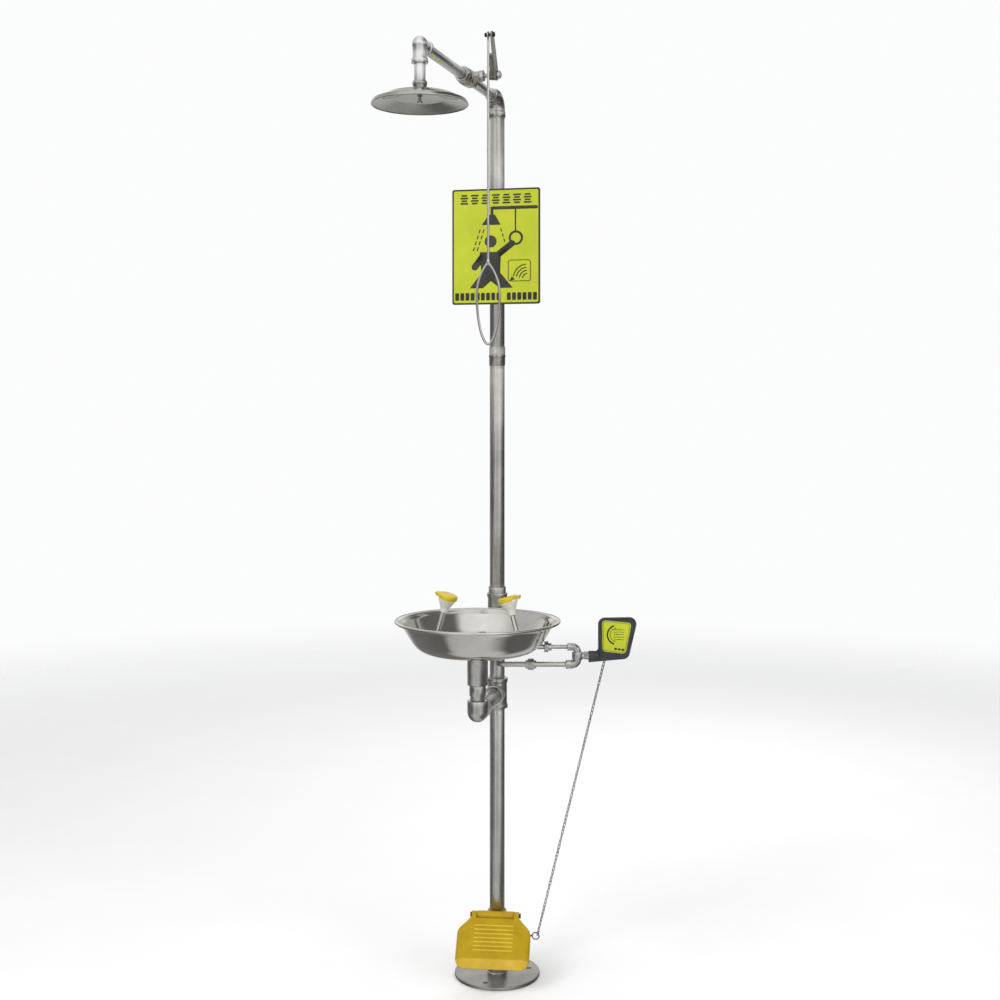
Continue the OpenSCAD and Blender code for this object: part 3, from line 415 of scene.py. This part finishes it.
BY_SLOT = {
    "satin_steel": tube_steel,
    "cast_steel": cast_steel,
    "polished_steel": basin_steel,
    "dark_steel": dark_steel,
    "brass_nut": brass_nut,
    "white_seal": white_seal,
    "black_paint": black_paint,
    "lime_film": lime_film,
    "nozzle_plastic": nozzle_plastic,
    "cap_plastic": cap_plastic,
    "black_plastic": black_plastic,
    "yellow_paint": yellow_paint,
}
SLOT_OF = {part["node"]: part["material_slot"] for part in frame["record"]["subparts"]}

# ---------------------------------------------------------------- carried-over CAD nodes


def dress(node, look, rounding=0.0004, angle=32):
    """Gives a CAD node its material, smooth faces and softened edges."""
    shown = nodes[node]
    shown.data.materials.clear()
    shown.data.materials.append(look)
    for face in shown.data.polygons:
        face.use_smooth = True
        face.material_index = 0
    weld = shown.modifiers.new("weld", "WELD")
    weld.merge_threshold = 0.00002
    if rounding:
        soft = shown.modifiers.new("soft", "BEVEL")
        soft.width = rounding
        soft.segments = 2
        soft.limit_method = "ANGLE"
        soft.angle_limit = math.radians(angle)
        soft.harden_normals = True
        soft.use_clamp_overlap = True
    if node in FLAT:
        even = shown.modifiers.new("even", "WEIGHTED_NORMAL")
        even.keep_sharp = True


FLAT = ("sign_plate", "sign_face", "sign_symbol", "push_flag", "floor_flange")
BY_NODE = {
    "deluge_bolt": cast_steel,
    "head_elbow": bright_steel,
    "drop_pipe": bright_steel,
    "arm_outer_pipe": bright_steel,
    "arm_inner_pipe": bright_steel,
    "floor_flange": plate_steel,
    "manifold": rod_steel,
    "shower_lever": plate_steel,
}
for name in nodes:
    dress(name, BY_NODE.get(name, BY_SLOT[SLOT_OF[name]]))

# ---------------------------------------------------------------- mesh tools


def skin(shape, rows, wrap=False, close=False):
    """Quads between rows of points. wrap closes each row, close joins the last row to the first."""
    made = [[shape.verts.new(p) for p in row] for row in rows]
    count = len(rows[0])
    pairs = list(zip(made, made[1:] + ([made[0]] if close else [])))
    for a, b in pairs[:None if close else len(made) - 1]:
        for i in range(count if wrap else count - 1):
            j = (i + 1) % count
            shape.faces.new((a[i], a[j], b[j], b[i]))
    return made


def lathe(shape, profile, place, steps=96, closed=True):
    """Turns a profile of (radius, height) pairs about local Z."""
    rows = []
    for k in range(steps):
        a = 2 * math.pi * k / steps
        rows.append([place @ Vector((r * math.cos(a), r * math.sin(a), z)) for r, z in profile])
    skin(shape, rows, wrap=closed, close=True)


def along(path, closed=False):
    """A frame (side, side, tangent) at each point of a path, turning as little as it can."""
    frames, n = [], len(path)
    side = None
    for i, p in enumerate(path):
        before = path[i - 1] if i or closed else p
        after = path[(i + 1) % n] if i < n - 1 or closed else p
        way = (after - before).normalized()
        if side is None:
            side = way.orthogonal().normalized()
        side = (side - way * side.dot(way)).normalized()
        frames.append((side, way.cross(side), way))
    return frames


def tube(shape, path, radius, steps=14, closed=False):
    """Round bar along a path; radius is one number or one for each point."""
    if not hasattr(radius, "__len__"):
        radius = [radius] * len(path)
    rows = []
    for p, r, (u, v, _) in zip(path, radius, along(path, closed)):
        rows.append([p + (u * math.cos(t) + v * math.sin(t)) * r
                     for t in (2 * math.pi * k / steps for k in range(steps))])
    made = skin(shape, rows, wrap=True, close=closed)
    if not closed:
        shape.faces.new(made[0])
        shape.faces.new(made[-1])


def prism(shape, outline, low, high, place):
    """A flat outline raised from low to high along local Z."""
    rows = [[place @ Vector((x, y, z)) for x, y in outline] for z in (low, high)]
    made = skin(shape, rows, wrap=True)
    shape.faces.new(made[0])
    shape.faces.new(made[1])


def arc(c, r, start, stop, count=8):
    """Points on an arc, angles in degrees."""
    angles = [math.radians(start + (stop - start) * i / count) for i in range(count + 1)]
    return [(c[0] + r * math.cos(a), c[1] + r * math.sin(a)) for a in angles]


def rounded(w, h, r, c=(0, 0), count=6):
    """Outline of a rounded rectangle."""
    x, y = w / 2 - r, h / 2 - r
    return [p for sx, sy, a in ((1, 1, 0), (-1, 1, 90), (-1, -1, 180), (1, -1, 270))
            for p in arc((c[0] + sx * x, c[1] + sy * y), r, a, a + 90, count)]


def sheet_profile(line, thick):
    """A closed profile: the line, then back along its left side at the sheet's thickness."""
    back = []
    for i in range(len(line)):
        a, b = line[max(i - 1, 0)], line[min(i + 1, len(line) - 1)]
        dx, dy = b[0] - a[0], b[1] - a[1]
        far = math.hypot(dx, dy)
        back.append((line[i][0] - dy / far * thick, line[i][1] + dx / far * thick))
    return line + back[::-1]


def smooth_path(points, steps):
    """A Catmull-Rom curve through the points."""
    out, n = [], len(points)
    for i in range(n - 1):
        a, b, c, d = points[max(i - 1, 0)], points[i], points[i + 1], points[min(i + 2, n - 1)]
        for k in range(steps):
            t = k / steps
            out.append(0.5 * (2 * b + (c - a) * t + (2 * a - 5 * b + 4 * c - d) * t * t
                              + (3 * b - a - 3 * c + d) * t ** 3))
    return out + [points[-1]]


def piece(name, shape, look, body, replaced=(), rounding=0.0, sharp=38):
    """Finishes a mesh as a piece that rides on a body."""
    bmesh.ops.remove_doubles(shape, verts=shape.verts, dist=1e-7)
    bmesh.ops.recalc_face_normals(shape, faces=shape.faces)
    mesh = bpy.data.meshes.new(name)
    shape.to_mesh(mesh)
    shape.free()
    mesh.materials.append(look)
    for face in mesh.polygons:
        face.use_smooth = True
    mesh.set_sharp_from_angle(angle=math.radians(sharp))
    made = bpy.data.objects.new(name, mesh)
    bpy.context.scene.collection.objects.link(made)
    if rounding:
        soft = made.modifiers.new("soft", "BEVEL")
        soft.width = rounding
        soft.segments = 3
        soft.limit_method = "ANGLE"
        soft.angle_limit = math.radians(sharp)
        soft.harden_normals = True
    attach(made, body)
    if replaced:
        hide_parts(*replaced)
    return made


# ---------------------------------------------------------------- basin and shower head


def upright(node):
    """Frame at the foot of an upright turned node."""
    low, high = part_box(node)
    return Matrix.Translation(((low.x + high.x) / 2, (low.y + high.y) / 2, low.z))


def build_basin():
    """Spun bowl with a rolled rim."""
    reach = size("basin").x / 2
    deep = size("basin").z
    foot_r, corner, lean = 0.108, 0.060, 59
    bead, drain_hole = 0.0025, 0.020
    line = [(drain_hole, 0.0), (0.06, 0.0)]
    line += arc((foot_r, corner), corner, -90, lean - 90, 18)
    foot = line[-1]
    rise = deep - 0.010 - foot[1]
    top = foot[0] + rise / math.tan(math.radians(lean))
    line += [(foot[0] + (top - foot[0]) * k / 8, foot[1] + rise * k / 8) for k in range(1, 9)]
    line += arc((reach - 0.0025, deep - 0.0115), 0.010, 155, 92, 8)
    line += arc((reach - bead, deep - bead - 0.0005), bead, 90, -150, 12)
    shape = bmesh.new()
    lathe(shape, sheet_profile(line, 0.0012), upright("basin"), 192)
    piece("basin_bowl", shape, basin_steel, "stand", ["basin"])


build_basin()


def build_bell():
    """Spun shower bell: rolled lip, sloping wall, soft shoulder and a nearly flat crown."""
    low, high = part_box("shower_bell")
    reach = (high.x - low.x) / 2
    tall = high.z - low.z
    line = arc((reach - 0.0012, 0.0013), 0.0012, -150, 0, 6)
    line += arc((reach - 0.0125, 0.0020), 0.012, 8, 36, 6)
    line += arc((reach - 0.038, 0.0115), 0.012, 50, 84, 8)
    line += [(0.052, tall - 0.0018), (0.030, tall - 0.0008), (0.0135, tall)]
    shape = bmesh.new()
    lathe(shape, sheet_profile(line, 0.0012), upright("shower_bell"), 176)
    piece("bell_shell", shape, bell_steel, "stand", ["shower_bell"], sharp=30)


build_bell()


def build_pan():
    """Polished pan under the bell: a sloping ring round a nearly flat middle."""
    low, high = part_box("spray_pan")
    reach, deep = (high.x - low.x) / 2, high.z - low.z
    line = [(reach, 0.0), (reach - 0.0008, 0.0006)]
    line += [(reach - 0.0508 * t, (deep - 0.0014) * t) for t in (0.1, 0.3, 0.5, 0.7, 0.9, 0.97)]
    line += [(reach - 0.0520, deep - 0.0010), (reach - 0.0545, deep - 0.0006)]
    line += [(0.03, deep - 0.0004), (0.0072, deep)]
    shape = bmesh.new()
    lathe(shape, sheet_profile(line[::-1], 0.0010), upright("spray_pan"), 176)
    piece("pan_shell", shape, pan_steel, "stand", ["spray_pan"], sharp=30)


build_pan()

# ---------------------------------------------------------------- pull rod


def build_pull_rod():
    """Bright rod with a bent eye at the lever and a leaf-shaped hand loop."""
    swing = joint_frame("pull_rod_swing")
    pin = swing.translation
    low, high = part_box("pull_rod")
    thick = 0.003
    foot = low.z + thick + 0.0008
    tall = 0.194
    wide = foot + 0.6 * tall
    half = (high.x - low.x) / 2 - thick
    top = foot + tall
    axis = Vector((pin.x, pin.y, 0))
    across = swing.to_3x3() @ Vector((0, 1, 0))
    shape = bmesh.new()
    ring = 0.0056
    eye = [pin + across * x + Z * z for x, z in arc((0, 0), ring, -50, 250, 26)]
    neck = [pin - Z * z for z in (0.0125, 0.018, 0.026)]
    shaft = [axis + Z * (pin.z - 0.026 + (top - pin.z + 0.026) * k / 24) for k in range(1, 25)]
    path = eye + neck + shaft
    tube(shape, path, [0.0025] * len(eye) + [0.0028] + [thick] * (len(neck) + len(shaft) - 1), 16)
    up, down = top - wide, wide - foot
    bow = (up * up + half * half) / (2 * half)
    reach = math.degrees(math.asin(up / bow))
    right = arc((half - bow, wide), bow, reach, 0, 18)
    right += [(half * math.cos(a) ** 1.1, wide - down * math.sin(a))
              for a in (math.pi / 2 * k / 20 for k in range(1, 20))]
    leaf = right + [(0, foot)] + [(-x, z) for x, z in right[::-1]]
    tube(shape, [axis + Vector((x, 0, z)) for x, z in leaf], thick, 16)
    blob = [(0.0002, -0.006), (0.0030, -0.0045), (0.0042, 0), (0.0036, 0.006), (0.0028, 0.010)]
    lathe(shape, blob, Matrix.Translation(axis + Z * (top - 0.002)), 16, closed=False)
    piece("pull_rod_bar", shape, rod_steel, "pull_rod", ["pull_rod"], sharp=70)


build_pull_rod()

# ---------------------------------------------------------------- treadle

TREAD_SLOPE = math.radians(40)


TREAD_HALF = 0.092
TREAD_LONG = 0.140
TREAD_TOP = 0.009
TREAD_EAR = 0.060
TREAD_EAR_WIDE = 0.013


def on_treadle():
    """Plane of the foot plate: local X along its hinge, Y down the slope, Z out of its top face."""
    half_turn = Matrix.Rotation(math.pi, 4, "Z")
    return joint_frame("treadle_press") @ half_turn @ Matrix.Rotation(-TREAD_SLOPE, 4, "X")


def build_treadle_plate():
    """Cast foot plate: a shell with soft edges and a chamfered front lip."""
    place = on_treadle()
    half, long, top, deep = TREAD_HALF, TREAD_LONG, TREAD_TOP, -0.008
    ear, ear_wide, notch, back = TREAD_EAR, TREAD_EAR_WIDE, 0.0135, 0.0105
    corner, roll, side = 0.024, 0.018, 0.0050
    hinge_end = 0.02
    steps = [math.pi / 2 * k / 8 for k in range(9)]
    plain = [(1 - math.sin(a), 1 - math.cos(a)) for a in steps]
    lip = [(0.0190, 0.0), (0.0172, 0.0002), (0.0158, 0.0009), (0.0146, 0.0021), (0.0090, 0.0078),
           (0.0038, 0.0132), (0.0018, 0.0152), (0.0005, 0.0168), (0.0, 0.0182)]
    shoulder = ((0.0640, 0.0150), (0.0765, 0.0280), (0.0872, 0.0400), (0.0912, 0.0490), (half, 0.0620))
    right = smooth_path([Vector(p) for p in shoulder], 4)
    right += [Vector(p) for p in arc((half - corner, long - corner), corner, 0, 90, 12)]
    edge = [(ear, back)] + [tuple(p) for p in right]
    gap = ear - ear_wide
    inner = [(-gap, back), (-gap, notch), (gap, notch), (gap, back)]
    outline = edge + [(-x, y) for x, y in edge[::-1]] + inner
    count = len(outline)

    def inward(i):
        (ax, ay), (bx, by) = outline[i - 1], outline[(i + 1) % count]
        dx, dy = bx - ax, by - ay
        far = math.hypot(dx, dy)
        return -dy / far, dx / far

    rows = []
    for (near, fall), (lip_in, lip_fall) in zip(plain, lip):
        row = []
        for i, (x, y) in enumerate(outline):
            blend = min(max((y - (long - corner - 0.016)) / (corner + 0.008), 0), 1)
            blend = blend * blend * (3 - 2 * blend)
            soft = 0.0016 if y < hinge_end else side
            step = soft * near * (1 - blend) + lip_in * blend
            drop = soft * fall * (1 - blend) + lip_fall * blend
            nx, ny = inward(i)
            row.append(Vector((x + nx * step, y + ny * step, top - drop)))
        rows.append(row)
    low_edge = [Vector((x, y, deep if y < long - 0.03 else top - roll - 0.002)) for x, y in outline]
    low_edge = [Vector((p.x, p.y, min(p.z, q.z))) for p, q in zip(low_edge, rows[-1])]
    for p in low_edge:
        if p.y < hinge_end:
            p.z = top - 0.004
    rows.append(low_edge)
    shape = bmesh.new()
    made = skin(shape, [[place @ p for p in row] for row in rows], wrap=True)
    cap = shape.faces.new(made[0])
    bmesh.ops.triangulate(shape, faces=[cap])
    plate = piece("treadle_plate", shape, yellow_paint, "treadle", ["treadle"], sharp=50)
    # The front lip's faces get the lighter yellow: partly rubbed paint, partly a painted highlight along the
    # crease.
    plate.data.materials.append(lip_worn_and_highlit_paint)
    down = place.inverted()
    for face in plate.data.polygons:
        spot = down @ face.center
        in_lip = top - 0.0005 > spot.z > top - 0.0180 and long - spot.y < 0.0185
        if in_lip and len(face.vertices) == 4:
            face.material_index = 1
    shell = plate.modifiers.new("shell", "SOLIDIFY")
    shell.thickness = 0.0038
    shell.offset = -1
    plate.visible_glossy = False


def build_treadle_ribs():
    """Cross ribs of the foot plate, rounded and tapered at both ends."""
    place = on_treadle()
    shape = bmesh.new()
    wide = 0.050
    stations = ((-wide, 0), (-wide + 0.0006, 0.55), (-wide + 0.002, 0.9), (-wide + 0.005, 1),
                (wide - 0.005, 1), (wide - 0.002, 0.9), (wide - 0.0006, 0.55), (wide, 0))
    arch = [math.pi * k / 10 for k in range(11)]
    for i in range(7):
        y = 0.0345 + 0.011 * i
        ridge = []
        for x, lift in stations:
            spread = 0.0022 if lift else 0.0014
            ridge.append([place @ Vector((x, y + spread * math.cos(t),
                                          TREAD_TOP - 0.0006 + 0.0034 * lift * math.sin(t))) for t in arch])
        made = skin(shape, ridge)
        under = [[row[0], row[-1]] for row in made]
        for a, b in zip(under, under[1:]):
            shape.faces.new((a[0], b[0], b[1], a[1]))
        for row in (made[0], made[-1]):
            shape.faces.new(row)
    # The ribs get the lighter yellow: partly rubbed paint, partly a painted highlight on their tops.
    ribs = piece("treadle_ribs", shape, worn_and_highlit_paint, "treadle", sharp=60)
    ribs.visible_glossy = False


def build_treadle_ears():
    """Two hinge ears of the foot plate, round about the pin."""
    turn = on_treadle() @ Matrix(((0, 0, 1, 0), (1, 0, 0, 0), (0, 1, 0, 0), (0, 0, 0, 1)))
    profile = arc((0, 0), 0.009, 105, 330, 20)
    profile += [(0.0135, -0.0035), (0.020, 0.0055), (0.020, 0.0080), (0.012, 0.009)]
    shape = bmesh.new()
    for sign in (-1, 1):
        low, high = sorted((sign * (TREAD_EAR - TREAD_EAR_WIDE) * 1.004, sign * TREAD_EAR))
        prism(shape, profile, low, high, turn)
    ears = piece("treadle_ears", shape, yellow_paint, "treadle", rounding=0.0012)
    ears.visible_glossy = False


build_treadle_plate()
build_treadle_ribs()
build_treadle_ears()

# ---------------------------------------------------------------- sign


def on_sign():
    """Plane of the sign's face: local X across, Y up, Z towards the viewer."""
    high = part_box("sign_symbol")[1]
    flat = centre("sign_face")
    return Matrix(((1, 0, 0, flat.x), (0, 0, -1, high.y), (0, 1, 0, flat.z), (0, 0, 0, 1)))


def stroke(a, b, wide):
    """Outline of a straight line with round ends."""
    lean = math.degrees(math.atan2(b[1] - a[1], b[0] - a[0]))
    return arc(a, wide / 2, lean + 90, lean + 270, 6) + arc(b, wide / 2, lean - 90, lean + 90, 6)


def curve_strokes(points, wide):
    return [stroke(a, b, wide) for a, b in zip(points, points[1:])]


def frame_strip(w, h, r, wide, c):
    """A thin rounded frame, as one ring of quads."""
    return rounded(w, h, r, c, 5), rounded(w - 2 * wide, h - 2 * wide, max(r - wide, 0.0004), c, 5)


def ring_prism(shape, outer, inner, low, high, place):
    rows = [[place @ Vector((x, y, z)) for x, y in loop]
            for loop, z in ((outer, low), (outer, high), (inner, high), (inner, low))]
    skin(shape, rows, wrap=True, close=True)


def build_sign_marks():
    """Plain blocks where a sign would carry words, and a small framed spray mark."""
    place = on_sign()
    thick = 0.0005
    shape = bmesh.new()
    top = 0.121
    for k in range(7):
        x = (k - 3) * 0.0275
        for row in range(4):
            wide = 0.0200 if (row + k) % 2 else 0.0150
            prism(shape, rounded(wide, 0.0040, 0.0012, (x, top + 0.0100 - 0.0067 * row)), 0, thick, place)
    for k in range(16):
        if k != 9:
            x = (k - 7.5) * 0.0135
            prism(shape, rounded(0.0098, 0.0190, 0.0020, (x, -0.1275)), 0, thick, place)
    corner = (0.061, -0.0624)
    outer, inner = frame_strip(0.059, 0.055, 0.007, 0.0017, corner)
    ring_prism(shape, outer, inner, 0, thick, place)
    for k in range(4):
        bow = arc((corner[0] + 0.021, corner[1] - 0.021), 0.013 + 0.0080 * k, 98, 168, 6)
        for i, line in enumerate(curve_strokes(bow, 0.0026)):
            prism(shape, line, 0, thick * (0.86 + 0.02 * i), place)
    tip = (0.036, -0.0885)
    prism(shape, [tip, (tip[0] + 0.0135, tip[1] + 0.0035), (tip[0] + 0.0055, tip[1] + 0.0115)],
          0, thick * 1.04, place)
    piece("sign_marks", shape, label_ink, "stand", sharp=30)


build_sign_marks()

# ---------------------------------------------------------------- push flag


def build_flag_front():
    """Raised rim on the flag, and its film label with a plain spray mark."""
    pivot = joint_frame("flag_push").translation
    across = -(joint_frame("flag_push").to_3x3() @ Vector((1, 0, 0)))
    out = across.cross(Z)
    front = Matrix((across, Z, out)).transposed().to_4x4()
    front.translation = pivot
    thick = 0.003
    x0 = 0.050
    shape = bmesh.new()
    r = 0.0135
    rim = arc((x0 + 0.016, 0.075), r, 180, 90, 10) + arc((x0 + 0.076, 0.076), r, 90, -10, 10)
    rim += arc((x0 + 0.060, 0.0075), r, -10, -82, 10) + arc((x0 + 0.0115, 0.0075), 0.0085, 262, 180, 8)
    path = [front @ Vector((x, y, thick)) for x, y in rim]
    tube(shape, path, 0.0016, 10, closed=True)
    piece("flag_rim", shape, black_plastic, "flag", sharp=70)
    shape = bmesh.new()
    x1 = x0 + 0.009

    def quad(inset, r):
        a, b = (1 + inset, 10 + inset), (0 + inset, 86 - inset)
        c, d = (72 - inset * 1.1, 79 - inset), (57 - inset, 4 + inset)
        corners = [a, d, c, b]
        out = []
        for k in range(4):
            p, q, s = (Vector(corners[(k + j) % 4]) for j in (-1, 0, 1))
            u, v = (p - q).normalized(), (s - q).normalized()
            start, stop = q + u * r, q + v * r
            for t in (0, 0.25, 0.5, 0.75, 1):
                m = start * (1 - t) ** 2 + q * 2 * t * (1 - t) + stop * t * t
                out.append((x1 + m.x * MM, m.y * MM))
        return out

    prism(shape, quad(0.5, 9), thick, thick + 0.0006, front)
    piece("flag_film", shape, lime_film, "flag", ["flag_label"], sharp=30)
    shape = bmesh.new()
    lift = thick + 0.0006
    ring_prism(shape, quad(2.6, 7.5), quad(3.5, 7.0), lift - 0.0001, lift + 0.0002, front)
    eye = (x1 + 0.036, 0.050)
    for radius, wide, start, stop in ((0.023, 0.0034, 110, 250), (0.0165, 0.0012, 100, 260)):
        for line in curve_strokes(arc(eye, radius, start, stop, 14), wide):
            prism(shape, line, lift - 0.0001, lift + 0.0002, front)
    for k in range(5):
        y = 0.062 - 0.006 * k
        ripple = [(eye[0] - 0.008, y), (eye[0] + 0.004, y + 0.0012), (eye[0] + 0.017, y)]
        for line in curve_strokes(ripple, 0.0011):
            prism(shape, line, lift - 0.0001, lift + 0.00018, front)
    for k in range(3):
        prism(shape, rounded(0.0062, 0.0052, 0.0010, (eye[0] - 0.003 + 0.0085 * k, 0.0165 - 0.0012 * k)),
              lift - 0.0001, lift + 0.0002, front)
    piece("flag_marks", shape, label_ink, "flag", sharp=30)


build_flag_front()

# ---------------------------------------------------------------- chain


def build_chain():
    """Welded steel chain, each link turned a quarter from the last."""
    head = joint_frame("chain_swing").translation
    low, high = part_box("chain")
    end_ring = 0.0061
    foot = Vector((low.x + end_ring * 0.9, high.y - end_ring * 0.9, low.z + end_ring * 0.2))
    way = foot - head
    far = way.length
    way.normalize()
    side = way.orthogonal().normalized()
    wire, wide = 0.00095, 0.0026
    pitch = 0.0098
    count = round(far / pitch)
    pitch = far / count
    half = pitch / 2 + wire
    shape = bmesh.new()
    random.seed(11)
    for k in range(count):
        turn = math.pi / 2 * (k % 2) + random.uniform(-0.22, 0.22)
        u = side * math.cos(turn) + way.cross(side) * math.sin(turn)
        mid = head + way * (pitch * (k + 0.5))
        flat = half - wide
        path = [mid + u * x + way * y for x, y in
                arc((0, flat), wide, 0, 180, 5) + arc((0, -flat), wide, 180, 360, 5)]
        tube(shape, path, wire, 7, closed=True)
    piece("chain_links", shape, chain_steel, "chain", ["chain"], sharp=60)


build_chain()

# ---------------------------------------------------------------- weld and threads


def build_weld():
    """Rippled weld bead between the flange and the stanchion's socket."""
    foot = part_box("lower_pipe")[0].z
    reach = size("lower_pipe").x / 2 + 0.0061
    shape = bmesh.new()
    random.seed(5)
    count = 168
    path, thick = [], []
    for k in range(count):
        a = 2 * math.pi * k / count
        far = reach + 0.0004 * math.sin(3 * a) + random.uniform(-0.0001, 0.0001)
        path.append(Vector((far * math.cos(a), far * math.sin(a), foot + 0.0002)))
        thick.append(0.0021 + 0.0004 * abs(math.sin(21 * a)) + random.uniform(-0.0001, 0.0001))
    tube(shape, path, thick, 10, closed=True)
    piece("flange_weld", shape, cast_steel, "stand", sharp=80)


build_weld()


def build_threads():
    """The last turns of pipe thread that show beside the screwed fittings."""
    reach = size("mid_pipe").x / 2
    pitch = 0.0023
    edges = []
    fittings = (("drain_tee", 3, 3), ("inlet_tee", 3, 3), ("pipe_coupling", 3, 4), ("top_elbow", 0, 3))
    for fitting, above, below in fittings:
        low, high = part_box(fitting)
        edges += [(high.z, 1, above), (low.z, -1, below)]
    shape = bmesh.new()
    for edge, way, turns in edges:
        for k in range(turns):
            z = edge + way * pitch * (k + 0.5)
            rise = 0.00045 - 0.00008 * k
            crest = reach + rise
            root = reach - 0.0004
            ridge = [(root, -0.0010), (crest, -0.0002), (crest, 0.0002), (root, 0.0010)]
            lathe(shape, ridge, Matrix.Translation((0, 0, z)), 64)
    piece("pipe_threads", shape, cast_steel, "stand", sharp=60)


build_threads()
